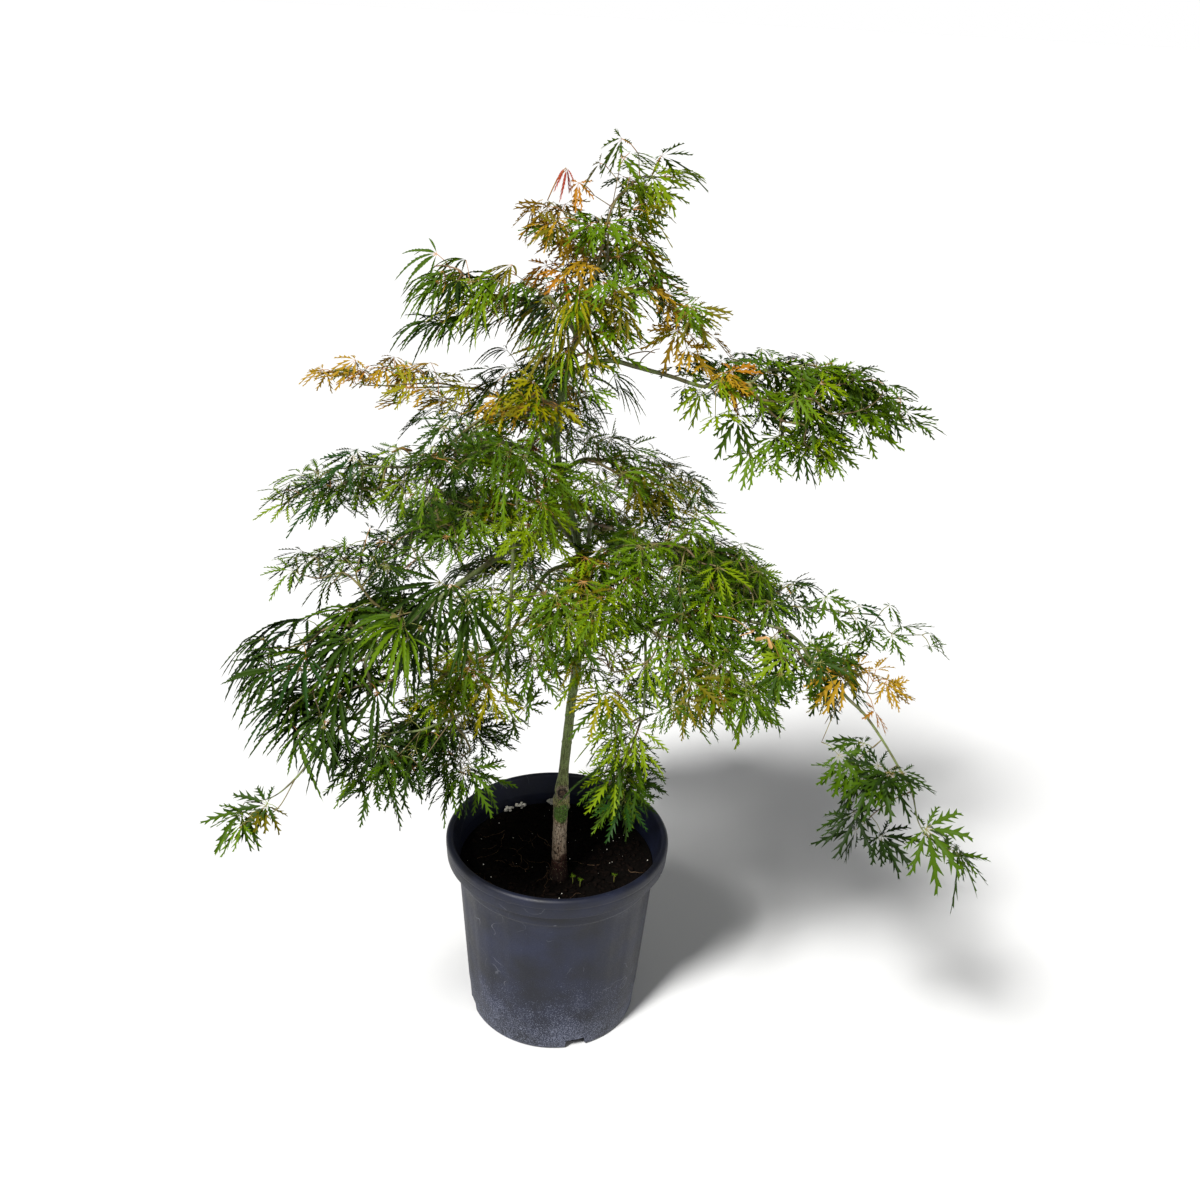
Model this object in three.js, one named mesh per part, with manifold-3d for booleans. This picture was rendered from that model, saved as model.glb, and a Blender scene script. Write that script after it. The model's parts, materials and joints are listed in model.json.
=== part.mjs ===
// A laceleaf japanese maple on a single grafted stem, in a black nursery pot.
// Millimetres. +X right, +Y back, +Z up; the origin is under the middle of the pot, on the ground.
import * as THREE from 'three';
import { mergeVertices } from 'three/addons/utils/BufferGeometryUtils.js';
import Module from 'manifold-3d';

const wasm = await Module();
wasm.setup();

const gap = 0.3; // clearance between pieces that touch
const leafGap = 0.5; // and between masses of foliage, measured along their own axes

const pot = {
  height: 278,
  rimRadius: 150,
  bandHeight: 28, // the folded skirt of the rim
  bandThickness: 3.2,
  bodyTopRadius: 136,
  baseRadius: 116,
  stepBelowBand: 20, // a second, finer step round the body
  stepDepth: 2.4,
  wall: 3,
  floor: 10,
  recess: 5, // the drainage groove under the floor
  padRadius: 32, // the middle of the floor that meets the ground
  footWidth: 24, // the ring at the base that meets the ground
  slots: 4,
  slotWidth: 30,
  slotHeight: 8,
  slotTurn: -71,
  sides: 28,
};

const soil = { level: 229, flatRadius: 78, wallLevel: 236 };

const trunk = {
  foot: new THREE.Vector2(4, -35), // where the stem stands in the pot
  fork: 1001,
  graft: 350, // height of the graft knob
  stockRadius: 10.4,
  flare: 4.6,
  flareHeight: 16,
  knob: 1.9,
  knobHeight: 15,
  scionRadius: 7.7,
  forkRadius: 3,
  // sideways place of the stem's bends, by height
  bends: [[229, 4], [350, 4], [480, 11], [660, 22], [750, 5], [835, -16], [920, -8], [1001, 11]],
  sway: 7, // front to back
  swayFrom: 222,
  steps: 24,
  sides: 8,
};

const limbSides = 6;
const limbStep = 27; // longest step along a limb
const limbTaper = 0.56; // tip radius as a share of the root's
const fallCurve = 1.35; // how much a limb steepens past its crest

// Each limb carries the mass of foliage of the same name, and ends where it enters it. It leaves the
// stem, or starts `out` from it, at height `from`, runs `reach` along its heading (0 right, 90 back,
// 180 left, 270 front), climbs `rise` until `crest` of the way and then falls.
const limbs = [
  { name: 'crown_top', from: 995, heading: 10, reach: 40, rise: 180, crest: 2, radius: 3 },
  { name: 'top_left', from: 968, heading: 190, reach: 118, rise: 62, crest: 0.62, fall: 14, radius: 2.8 },
  { name: 'top_right', from: 986, heading: 5, reach: 74, rise: 28, crest: 0.7, fall: 6, radius: 2.6 },
  { name: 'big_right', from: 921, heading: 2, reach: 200, rise: 20, crest: 0.17, fall: 40, radius: 3.4 },
  { name: 'gold_spray', from: 886, heading: 178, reach: 110, rise: 16, crest: 0.6, fall: 6, radius: 2.4 },
  { name: 'left_upper', from: 836, heading: 187, reach: 142, rise: 44, crest: 0.45, fall: 62, radius: 3 },
  { name: 'mid_left', from: 808, heading: 204, reach: 165, rise: 44, crest: 0.5, fall: 70, radius: 3 },
  { name: 'centre_left', from: 838, heading: 246, reach: 96, rise: 30, crest: 0.5, fall: 52, radius: 2.4 },
  { name: 'dome', from: 806, heading: 25, reach: 110, rise: 18, crest: 0.3, fall: 40, radius: 2.6 },
  { name: 'strap_left', from: 744, heading: 219, reach: 235, rise: 4, crest: 0.1, fall: 80, radius: 4 },
  { name: 'low_left_inner', from: 690, heading: 229, reach: 150, rise: 16, crest: 0.3, fall: 110, radius: 3 },
  { name: 'right_mass', from: 684, heading: -16, reach: 150, rise: 46, crest: 0.5, fall: 30, radius: 3.4 },
  { name: 'right_arm', from: 598, heading: -12, reach: 270, rise: 68, crest: 1, radius: 2.8 },
  { name: 'right_fall', from: 578, heading: -28, reach: 270, rise: 98, crest: 0.9, fall: 4, radius: 3.4 },
  { name: 'front_centre', from: 632, heading: -74, reach: 110, rise: 56, crest: 0.9, fall: 2, radius: 3 },
  { name: 'front_left', from: 604, heading: 252, reach: 122, rise: 66, crest: 0.85, fall: 4, radius: 2.8 },
  { name: 'front_right', from: 618, heading: -46, reach: 160, rise: 58, crest: 0.8, fall: 8, radius: 3.2 },
  { name: 'back_high', from: 838, heading: 112, reach: 110, rise: 30, crest: 0.6, fall: 14, radius: 2.6 },
  { name: 'back_left', from: 712, heading: 138, reach: 190, rise: 40, crest: 0.5, fall: 50, radius: 3.4 },
  { name: 'back_middle', from: 664, heading: 88, reach: 200, rise: 36, crest: 0.5, fall: 46, radius: 3.4 },
  { name: 'back_right', from: 640, heading: 40, reach: 190, rise: 38, crest: 0.4, fall: 26, radius: 3.4 },
  { name: 'hang_left', from: 772, out: 118, heading: 243, reach: 14, fall: 226, radius: 2 },
  { name: 'left_tip', from: 580, out: 282, heading: 216, reach: 118, fall: 94, radius: 1.8 },
  { name: 'fall_tip', from: 622, out: 330, heading: -28, reach: 116, fall: 128, radius: 1.8 },
  { name: 'pot_hang', from: 672, out: 140, heading: -58, reach: 8, fall: 140, radius: 1.8 },
];

// Masses of foliage. `at` is the heading and reach from the stem's foot and the height of a pad's
// middle, `size` its length, width and depth, `slope` the fall from its inner to its outer end and
// `droop` the fall at its sides.
const masses = [
  { name: 'crown_top', at: [12, 52, 1106], size: [112, 100, 108], slope: -20, droop: 6 },
  { name: 'crown_gold', at: [196, 26, 1076], size: [94, 72, 84], slope: -16, droop: 8 },
  { name: 'top_right', at: [4, 94, 998], size: [124, 96, 66], slope: 52, droop: 16 },
  { name: 'top_left', at: [190, 104, 992], size: [160, 104, 74], slope: 26, droop: 18 },
  { name: 'heart', at: [232, 32, 936], size: [104, 92, 98], slope: 8, droop: 10 },
  { name: 'gold_spray', at: [178, 184, 892], size: [280, 76, 46], slope: -14, droop: 8 },
  { name: 'left_upper', at: [187, 196, 798], size: [250, 116, 62], slope: 44, droop: 16 },
  { name: 'mid_left', at: [208, 132, 762], size: [176, 132, 64], slope: 10, droop: 14 },
  { name: 'left_mid', at: [203, 250, 722], size: [210, 106, 48], slope: 14, droop: 14 },
  { name: 'centre_left', at: [246, 96, 786], size: [112, 138, 60], slope: 34, droop: 22 },
  { name: 'strap_left', at: [213, 318, 648], size: [226, 158, 64], slope: 62, droop: 26 },
  { name: 'strap_drop', at: [217, 322, 586], size: [216, 150, 58], slope: 50, droop: 24 },
  { name: 'low_left_inner', at: [229, 172, 592], size: [124, 122, 72], slope: 50, droop: 24 },
  { name: 'low_left_front', at: [225, 254, 536], size: [176, 150, 56], slope: 42, droop: 22 },
  { name: 'left_tip', at: [217, 412, 475], size: [112, 76, 44], slope: 22, droop: 12 },
  { name: 'hang_left', at: [244, 132, 536], size: [54, 52, 60], slope: 6, droop: 8 },
  { name: 'big_right', at: [2, 262, 898], size: [244, 126, 94], slope: 30, droop: 20 },
  { name: 'dome', at: [16, 102, 786], size: [172, 160, 64], slope: 54, droop: 26 },
  { name: 'right_mass', at: [-18, 186, 704], size: [196, 170, 66], slope: 58, droop: 28 },
  { name: 'front_centre', at: [-74, 132, 700], size: [142, 176, 58], slope: 40, droop: 32 },
  { name: 'front_left', at: [252, 150, 672], size: [124, 124, 54], slope: 34, droop: 22 },
  { name: 'front_right', at: [-46, 224, 638], size: [190, 154, 62], slope: 84, droop: 28 },
  { name: 'pot_hang', at: [-59, 156, 474], size: [84, 88, 176], slope: 12, droop: 6 },
  { name: 'right_arm', at: [-12, 344, 662], size: [188, 70, 38], slope: 2, droop: 8 },
  { name: 'right_fall', at: [-27, 316, 640], size: [148, 100, 50], slope: 58, droop: 16 },
  { name: 'fall_mid', at: [-29, 380, 548], size: [136, 100, 52], slope: 62, droop: 14 },
  { name: 'fall_tip', at: [-28, 479, 474], size: [120, 84, 46], slope: 56, droop: 12 },
  { name: 'back_high', at: [112, 128, 846], size: [150, 150, 58], slope: 40, droop: 26 },
  { name: 'back_left', at: [138, 224, 690], size: [196, 176, 64], slope: 80, droop: 34 },
  { name: 'back_middle', at: [86, 250, 640], size: [206, 190, 64], slope: 90, droop: 36 },
  { name: 'back_right', at: [38, 232, 630], size: [196, 180, 64], slope: 84, droop: 34 },
  { name: 'back_drop', at: [112, 254, 580], size: [170, 170, 58], slope: 70, droop: 30 },
];

const lumps = { tall: 0.14, round: 0.16, ripple: 0.12 }; // unevenness of a mass, as shares of its size
const massColumns = 10;
const massRows = 6;

const paint = {
  pot: { color: '#23262e', roughness: 0.55 },
  soil: { color: '#1d1511', roughness: 0.95 },
  bark: { color: '#5f6a45', roughness: 0.8 },
  leaf: { color: '#3f7a1e', roughness: 0.6 },
  strapLeaf: { color: '#1f4a22', roughness: 0.6 },
  goldLeaf: { color: '#b0862e', roughness: 0.6 },
};

const darkMasses = ['strap_left', 'strap_drop', 'top_left', 'left_tip', 'low_left_front'];
const goldMasses = ['gold_spray', 'crown_gold'];

function toSolid(geometry) {
  const bare = geometry.clone();
  bare.deleteAttribute('normal');
  bare.deleteAttribute('uv');
  const merged = mergeVertices(bare, 1e-4);
  const vertProperties = new Float32Array(merged.attributes.position.array);
  const triVerts = new Uint32Array(merged.index.array);
  return new wasm.Manifold(new wasm.Mesh({ numProp: 3, vertProperties, triVerts }));
}

function toGeometry(solid) {
  const mesh = solid.getMesh();
  const geometry = new THREE.BufferGeometry();
  geometry.setAttribute('position', new THREE.BufferAttribute(mesh.vertProperties, 3));
  geometry.setIndex(new THREE.BufferAttribute(mesh.triVerts, 1));
  const flat = geometry.toNonIndexed();
  flat.computeVertexNormals();
  return flat;
}

function named(name, geometry, look) {
  const material = new THREE.MeshStandardMaterial({ ...look, metalness: 0 });
  const mesh = new THREE.Mesh(geometry, material);
  mesh.name = name;
  return mesh;
}

// A turned shape about Z from a [radius, height] profile that starts and ends on the axis.
function turned(profile, sides) {
  const points = profile.map(([radius, height]) => new THREE.Vector2(radius, height));
  return new THREE.LatheGeometry(points, sides).rotateX(Math.PI / 2);
}

// A round, tapering tube with closed ends along a curve, swollen by `grow` all round.
function taperedTube(curve, radiusAt, steps, sides, grow) {
  const geometry = new THREE.CylinderGeometry(1, 1, 1, sides, steps);
  const position = geometry.attributes.position;
  const frames = curve.computeFrenetFrames(steps, false);
  for (let i = 0; i < position.count; i += 1) {
    const along = 0.5 + position.getY(i);
    const ring = Math.round(along * steps);
    const radius = radiusAt(along) + grow;
    const centre = curve.getPointAt(along);
    if (ring === 0) centre.addScaledVector(frames.tangents[ring], -grow);
    if (ring === steps) centre.addScaledVector(frames.tangents[ring], grow);
    centre.addScaledVector(frames.normals[ring], position.getX(i) * radius);
    centre.addScaledVector(frames.binormals[ring], -position.getZ(i) * radius);
    position.setXYZ(i, centre.x, centre.y, centre.z);
  }
  return geometry;
}

function trunkRadius(height) {
  const above = height - soil.level;
  const flare = trunk.flare * Math.exp(-above / trunk.flareHeight);
  const knob = trunk.knob * Math.exp(-(((height - trunk.graft) / trunk.knobHeight) ** 2));
  const blend = THREE.MathUtils.smoothstep(height, trunk.graft, trunk.graft + 2 * trunk.knobHeight);
  const climb = Math.max(0, (height - trunk.graft) / (trunk.fork - trunk.graft));
  const scion = THREE.MathUtils.lerp(trunk.scionRadius, trunk.forkRadius, climb);
  return THREE.MathUtils.lerp(trunk.stockRadius, scion, blend) + flare + knob;
}

const trunkCurve = new THREE.CatmullRomCurve3(
  trunk.bends.map(([height, x]) => {
    const y = trunk.foot.y + trunk.sway * Math.sin((height - trunk.swayFrom) / 130);
    return new THREE.Vector3(x, y, height + gap);
  }),
);

function trunkAt(height) {
  let best = trunkCurve.getPointAt(0);
  for (let step = 0; step <= 200; step += 1) {
    const point = trunkCurve.getPointAt(step / 200);
    if (Math.abs(point.z - height) < Math.abs(best.z - height)) best = point;
  }
  return best;
}

function trunkTube(grow = 0) {
  const radiusAt = (along) => trunkRadius(trunkCurve.getPointAt(along).z);
  return taperedTube(trunkCurve, radiusAt, trunk.steps, trunk.sides, grow);
}

// The stem is trimmed level where it stands on the soil.
function trunkSolid() {
  const below = new THREE.BoxGeometry(200, 200, 40);
  below.translate(trunk.foot.x, trunk.foot.y, soil.level + gap - 20);
  return toSolid(trunkTube()).subtract(toSolid(below));
}

function headingVector(degrees) {
  const angle = THREE.MathUtils.degToRad(degrees);
  return new THREE.Vector3(Math.cos(angle), Math.sin(angle), 0);
}

function limbHeight(limb, along) {
  const { from, rise = 0, crest = 0, fall = 0 } = limb;
  if (crest > 0 && along <= crest) return from + rise * Math.sin((Math.PI / 2) * (along / crest));
  return from + rise - fall * ((along - crest) / (1 - crest)) ** fallCurve;
}

function limbCurve(limb) {
  const start = trunkAt(limb.from).addScaledVector(headingVector(limb.heading), limb.out ?? 0);
  const points = [];
  for (let i = 0; i <= 6; i += 1) {
    const along = i / 6;
    const point = start.clone().addScaledVector(headingVector(limb.heading), along * limb.reach);
    point.z = limbHeight(limb, along);
    points.push(point);
  }
  return new THREE.CatmullRomCurve3(points);
}

function limbSolid(limb, grow = 0) {
  const curve = limbCurve(limb);
  const steps = Math.ceil(curve.getLength() / limbStep);
  const radiusAt = (along) => limb.radius * THREE.MathUtils.lerp(1, limbTaper, along);
  return toSolid(taperedTube(curve, radiusAt, steps, limbSides, grow));
}

// Repeatable numbers from 0 to 1 for each mass.
function dice(seed) {
  let state = seed * 7919 + 17;
  return () => {
    state = (state * 1103515245 + 12345) % 2147483648;
    return state / 2147483648;
  };
}

// A pad of foliage: a sphere stretched along its heading, lumpy, tilted and hanging at the edges.
function massSolid(mass, seed, grow = 0) {
  const roll = dice(seed);
  const phases = [roll(), roll(), roll()].map((value) => value * 2 * Math.PI);
  const [heading, reach, height] = mass.at;
  const [length, width, depth] = mass.size;
  const forward = headingVector(heading);
  const across = new THREE.Vector3(-forward.y, forward.x, 0);
  const middle = new THREE.Vector3(trunk.foot.x, trunk.foot.y, height);
  middle.addScaledVector(forward, reach);
  const geometry = new THREE.SphereGeometry(1, massColumns, massRows);
  const position = geometry.attributes.position;
  for (let i = 0; i < position.count; i += 1) {
    const u = position.getX(i);
    const v = position.getZ(i);
    const w = position.getY(i);
    const turn = Math.atan2(v, u);
    const flat = Math.hypot(u, v);
    const round = 1 + flat * lumps.round * Math.sin(2 * turn + phases[0]);
    const ripple = 1 + flat * lumps.ripple * Math.sin(3 * turn + phases[1]);
    const tall = 1 + flat * lumps.tall * Math.sin(2 * turn + 2 * w + phases[2]);
    const ahead = v * round * ripple * (length / 2 + grow);
    const aside = u * round * ripple * (width / 2 + grow);
    const hang = (ahead / length) * mass.slope + ((2 * aside) / width) ** 2 * mass.droop;
    const point = middle.clone();
    point.addScaledVector(forward, ahead);
    point.addScaledVector(across, aside);
    point.z += w * tall * (depth / 2 + grow) - hang;
    position.setXYZ(i, point.x, point.y, point.z);
  }
  return toSolid(geometry);
}

function largestPiece(solid) {
  const pieces = solid.decompose();
  return pieces.reduce((best, piece) => (piece.volume() > best.volume() ? piece : best));
}

function potProfile() {
  const { height, rimRadius, bandHeight, bandThickness, bodyTopRadius, baseRadius, wall } = pot;
  const bandFoot = height - bandHeight;
  const step = bandFoot - pot.stepBelowBand;
  const bodyRadius = (z) => THREE.MathUtils.lerp(baseRadius, bodyTopRadius, z / bandFoot);
  const footInner = baseRadius - pot.footWidth;
  const crook = rimRadius - bandThickness;
  return [
    [0, 0], [pot.padRadius, 0], [pot.padRadius + 4, pot.recess],
    [footInner - 4, pot.recess], [footInner, 0], [baseRadius - 4, 0], [baseRadius, 5],
    [bodyRadius(step) - pot.stepDepth, step - 1], [bodyRadius(step), step + 1],
    [bodyTopRadius, bandFoot], [bodyTopRadius + 4, height - 12],
    [crook - 0.6, height - 11], [crook - 1.2, bandFoot], [rimRadius - 1, bandFoot],
    [rimRadius, height - 7], [rimRadius - 3, height], [bodyTopRadius + 7, height],
    [bodyTopRadius + 3, height - 5], [bodyTopRadius - wall, bandFoot],
    [bodyRadius(pot.floor) - wall, pot.floor], [0, pot.floor],
  ];
}

function innerRadius(z) {
  const inner = potProfile().slice(-3, -1); // wall foot and wall top, inside
  const [[topRadius, topHeight], [lowRadius, lowHeight]] = inner;
  return THREE.MathUtils.mapLinear(z, lowHeight, topHeight, lowRadius, topRadius);
}

// Drainage slots are cut through the standing ring into the groove behind it.
function potSolid() {
  let solid = toSolid(turned(potProfile(), pot.sides));
  for (let i = 0; i < pot.slots; i += 1) {
    const slot = new THREE.BoxGeometry(2 * pot.footWidth, pot.slotWidth, 2 * pot.slotHeight);
    slot.translate(pot.baseRadius - 2, 0, 0);
    slot.rotateZ(THREE.MathUtils.degToRad(pot.slotTurn + (360 / pot.slots) * i));
    solid = solid.subtract(toSolid(slot));
  }
  return solid;
}

function soilGeometry() {
  const foot = pot.floor + gap;
  const edge = innerRadius(soil.wallLevel) - gap - 0.5;
  const footEdge = innerRadius(foot) - gap - 0.5;
  return turned([
    [0, foot], [footEdge, foot], [edge, soil.wallLevel],
    [soil.flatRadius + 25, soil.wallLevel - 3], [soil.flatRadius, soil.level], [0, soil.level],
  ], pot.sides);
}

function massLook(name) {
  if (goldMasses.includes(name)) return paint.goldLeaf;
  return darkMasses.includes(name) ? paint.strapLeaf : paint.leaf;
}

function build() {
  const plant = new THREE.Group();
  plant.add(named('pot', toGeometry(potSolid()), paint.pot));
  plant.add(named('soil', soilGeometry(), paint.soil));
  plant.add(named('trunk', toGeometry(trunkSolid()), paint.bark));

  const trunkSpace = toSolid(trunkTube(gap));
  const whole = limbs.map((limb) => limbSolid(limb));
  const limbSpace = limbs.map((limb) => limbSolid(limb, gap));
  const massSpace = masses.map((mass, i) => massSolid(mass, i + 1, leafGap));

  limbs.forEach((limb, i) => {
    let solid = whole[i].subtract(trunkSpace);
    masses.forEach((mass, m) => {
      if (mass.name === limb.name) solid = solid.subtract(massSpace[m]);
    });
    limbSpace.slice(0, i).forEach((other) => { solid = solid.subtract(other); });
    plant.add(named(`bough_${limb.name}`, toGeometry(largestPiece(solid)), paint.bark));
  });

  masses.forEach((mass, i) => {
    let solid = massSolid(mass, i + 1).subtract(trunkSpace);
    limbs.forEach((limb, l) => {
      if (limb.name !== mass.name) solid = solid.subtract(limbSpace[l]);
    });
    massSpace.slice(0, i).forEach((other) => { solid = solid.subtract(other); });
    plant.add(named(`foliage_${mass.name}`, toGeometry(largestPiece(solid)), massLook(mass.name)));
  });
  return plant;
}

const group = build();

export default group;
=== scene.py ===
import json
import math

import bmesh
import bpy
import numpy as np
from mathutils import Matrix, Vector, noise
from mathutils.bvhtree import BVHTree

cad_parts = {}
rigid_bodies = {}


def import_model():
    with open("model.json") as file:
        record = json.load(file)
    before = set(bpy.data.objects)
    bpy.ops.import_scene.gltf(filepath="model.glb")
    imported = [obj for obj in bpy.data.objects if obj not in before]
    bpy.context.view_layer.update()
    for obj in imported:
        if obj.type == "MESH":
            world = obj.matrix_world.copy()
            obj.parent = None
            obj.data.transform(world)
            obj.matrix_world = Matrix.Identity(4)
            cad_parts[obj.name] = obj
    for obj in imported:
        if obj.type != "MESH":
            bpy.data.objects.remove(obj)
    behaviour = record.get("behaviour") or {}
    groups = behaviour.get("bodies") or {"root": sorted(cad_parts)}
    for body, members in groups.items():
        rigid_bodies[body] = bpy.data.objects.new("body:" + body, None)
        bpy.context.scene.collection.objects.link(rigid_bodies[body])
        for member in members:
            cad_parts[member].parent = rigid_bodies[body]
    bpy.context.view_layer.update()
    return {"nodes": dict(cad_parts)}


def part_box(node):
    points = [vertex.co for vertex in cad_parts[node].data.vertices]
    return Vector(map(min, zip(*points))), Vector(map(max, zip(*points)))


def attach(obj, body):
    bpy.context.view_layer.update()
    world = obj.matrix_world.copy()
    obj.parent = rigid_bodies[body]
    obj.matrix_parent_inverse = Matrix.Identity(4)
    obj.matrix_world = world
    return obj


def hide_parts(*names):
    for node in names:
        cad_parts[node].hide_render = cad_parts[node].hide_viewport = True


# A laceleaf japanese maple in its nursery pot, grown round the frame's stem, boughs and masses of foliage.
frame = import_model()
nodes = frame["nodes"]
boughNames = sorted(name[6:] for name in nodes if name.startswith("bough_"))
massNames = sorted(name[8:] for name in nodes if name.startswith("foliage_"))
dice = np.random.default_rng(29)
up = np.array([0.0, 0.0, 1.0])
print("frame:", len(nodes), "nodes,", len(boughNames), "boughs,", len(massNames), "masses")


def linear(hexColour):
    values = [int(hexColour[i:i + 2], 16) / 255 for i in (1, 3, 5)]
    return [v / 12.92 if v <= 0.04045 else ((v + 0.055) / 1.055) ** 2.4 for v in values] + [1.0]


def unit(vector):
    return vector / max(np.linalg.norm(vector), 1e-9)


def inScene(name, data):
    made = bpy.data.objects.new(name, data)
    bpy.context.scene.collection.objects.link(made)
    return made


def newObject(name, mesh, material, replaced=()):
    piece = inScene(name, mesh)
    mesh.materials.clear()
    mesh.materials.append(material)
    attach(piece, "root")
    if replaced:
        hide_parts(*replaced)
    return piece


def joinedMesh(name, parts):
    # parts: (points, corners of all faces in turn, corners in each face)
    mesh = bpy.data.meshes.new(name)
    points = np.concatenate([part[0] for part in parts])
    starts = np.cumsum([0] + [len(part[0]) for part in parts[:-1]])
    corners = np.concatenate([part[1] + start for part, start in zip(parts, starts)])
    sizes = np.concatenate([part[2] for part in parts])
    mesh.vertices.add(len(points))
    mesh.vertices.foreach_set("co", points.astype(np.float32).ravel())
    mesh.loops.add(len(corners))
    mesh.loops.foreach_set("vertex_index", corners.astype(np.int32))
    mesh.polygons.add(len(sizes))
    mesh.polygons.foreach_set("loop_start", (np.cumsum(sizes) - sizes).astype(np.int32))
    mesh.polygons.foreach_set("loop_total", sizes.astype(np.int32))
    mesh.update(calc_edges=True)
    mesh.validate()
    mesh.shade_smooth()
    return mesh


def finished(made, name):
    mesh = bpy.data.meshes.new(name)
    made.to_mesh(mesh)
    made.free()
    return mesh


def tubeMesh(name, strands, sides=6):
    # A closed tube round each strand of (points, radii).
    curve = bpy.data.curves.new(name, "CURVE")
    curve.dimensions = "3D"
    curve.bevel_depth = 1
    curve.bevel_resolution = (sides - 4) // 2
    curve.use_fill_caps = True
    for points, radii in strands:
        spline = curve.splines.new("POLY")
        spline.points.add(len(points) - 1)
        spline.points.foreach_set("co", np.column_stack([points, np.ones(len(points))]).ravel())
        spline.points.foreach_set("radius", np.asarray(radii, float))
    holder = inScene(name, curve)
    bpy.context.view_layer.update()
    mesh = bpy.data.meshes.new_from_object(holder.evaluated_get(bpy.context.evaluated_depsgraph_get()))
    bpy.data.objects.remove(holder)
    bpy.data.curves.remove(curve)
    made = bmesh.new()
    made.from_mesh(mesh)
    bmesh.ops.remove_doubles(made, verts=made.verts, dist=1e-6)
    bmesh.ops.recalc_face_normals(made, faces=made.faces)
    made.to_mesh(mesh)
    made.free()
    mesh.shade_smooth()
    return mesh


def smoothPath(points, step):
    # A Catmull-Rom curve through the points, with places about step apart, and the share of the way at each.
    points = np.asarray(points, float)
    ends = np.vstack([2 * points[0] - points[1], points, 2 * points[-1] - points[-2]])
    path, shares = [], []
    for i in range(len(points) - 1):
        a, b, c, d = ends[i:i + 4]
        count = max(1, int(round(np.linalg.norm(c - b) / step)))
        for t in np.arange(count) / count:
            path.append(0.5 * (2 * b + (c - a) * t + (2 * a - 5 * b + 4 * c - d) * t ** 2
                               + (3 * b - a - 3 * c + d) * t ** 3))
            shares.append(i + t)
    return np.array(path + [points[-1]]), np.array(shares + [len(points) - 1])


def addNode(tree, kind, inputs=None, out=0, stops=(), **settings):
    # A shader node: its settings, its sockets' values or links, a colour ramp's stops. Gives one output.
    node = tree.nodes.new("ShaderNode" + kind)
    for key, value in settings.items():
        setattr(node, key, value)
    for key, value in (inputs or {}).items():
        if isinstance(value, bpy.types.NodeSocket):
            tree.links.new(value, node.inputs[key])
        else:
            node.inputs[key].default_value = value
    for i, (place, colour) in enumerate(stops):
        elements = node.color_ramp.elements
        element = elements[i] if i < 2 else elements.new(place)
        element.position = place
        element.color = linear(colour)
    return node.outputs[out]


def newMaterial(name, **values):
    material = bpy.data.materials.new(name)
    material.use_nodes = True
    shader = material.node_tree.nodes["Principled BSDF"]
    for key, value in values.items():
        shader.inputs[key.replace("_", " ")].default_value = value
    return material, material.node_tree, shader


def wire(shader, **sources):
    # Links what drives each of the shader's inputs.
    for key, source in sources.items():
        shader.id_data.links.new(source, shader.inputs[key.replace("_", " ")])


# The stem and boughs, read from the frame.
def nodeMesh(name):
    mesh = nodes[name].data
    points = np.array([v.co[:] for v in mesh.vertices])
    edges = np.array([e.vertices[:] for e in mesh.edges])
    return points, edges


def section(points, edges, axis, station):
    # Where the plane across axis at that station cuts the edges.
    heights = points @ axis - station
    first, second = edges[heights[edges[:, 0]] * heights[edges[:, 1]] < 0].T
    share = (heights[first] / (heights[first] - heights[second]))[:, None]
    return points[first] * (1 - share) + points[second] * share


trunkPoints, trunkEdges = nodeMesh("trunk")
trunkLow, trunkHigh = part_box("trunk")
trunkHeights = np.arange(trunkLow.z + 0.002, trunkHigh.z - 0.001, 0.004)
trunkRings = [section(trunkPoints, trunkEdges, up, z) for z in trunkHeights]
trunkPath = np.array([ring.mean(0) for ring in trunkRings])
trunkRadii = np.array([np.linalg.norm(ring - ring.mean(0), axis=1).mean() for ring in trunkRings])


def stemAt(height):
    return np.array([np.interp(height, trunkHeights, trunkPath[:, i]) for i in range(3)])


def outwardFrom(place):
    away = np.array(place) - stemAt(place[2])
    return unit(away * [1, 1, 0])


limbShape = {
    "thickness": 1.04,  # of the finished boughs against the frame's
    "spacing": 0.016,  # metres between the places read off a bough
    "rootGap": 0.004, "endGap": 0.005,  # how far these keep from its end faces
}


def limbLine(name):
    # The bough's middle line from its root to where it enters its mass, and the radius at each end.
    points, edges = nodeMesh("bough_" + name)
    middle = points.mean(0)
    axis = np.linalg.svd(points - middle, full_matrices=False)[2][0]
    reach = points @ axis
    ends = [points[reach.argmin()], points[reach.argmax()]]
    fromStem = [np.linalg.norm((end - stemAt(end[2]))[:2]) for end in ends]
    if fromStem[0] > fromStem[1]:
        axis = -axis
        reach = -reach
    count = max(4, int(np.ptp(reach) / limbShape["spacing"]))
    stations = np.linspace(reach.min() + limbShape["rootGap"], reach.max() - limbShape["endGap"], count)
    rings = [section(points, edges, axis, station) for station in stations]
    across = unit(np.cross(axis, up))
    line = np.array([ring.mean(0) for ring in rings])
    widths = np.array([np.ptp(ring @ across) / 2 for ring in rings])
    slope, start = np.polyfit(stations - stations[0], widths, 1)
    end = start + slope * (stations[-1] - stations[0])
    return line, start * limbShape["thickness"], end * limbShape["thickness"]


limbs = {name: limbLine(name) for name in boughNames}
print("stem and boughs read")


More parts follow.
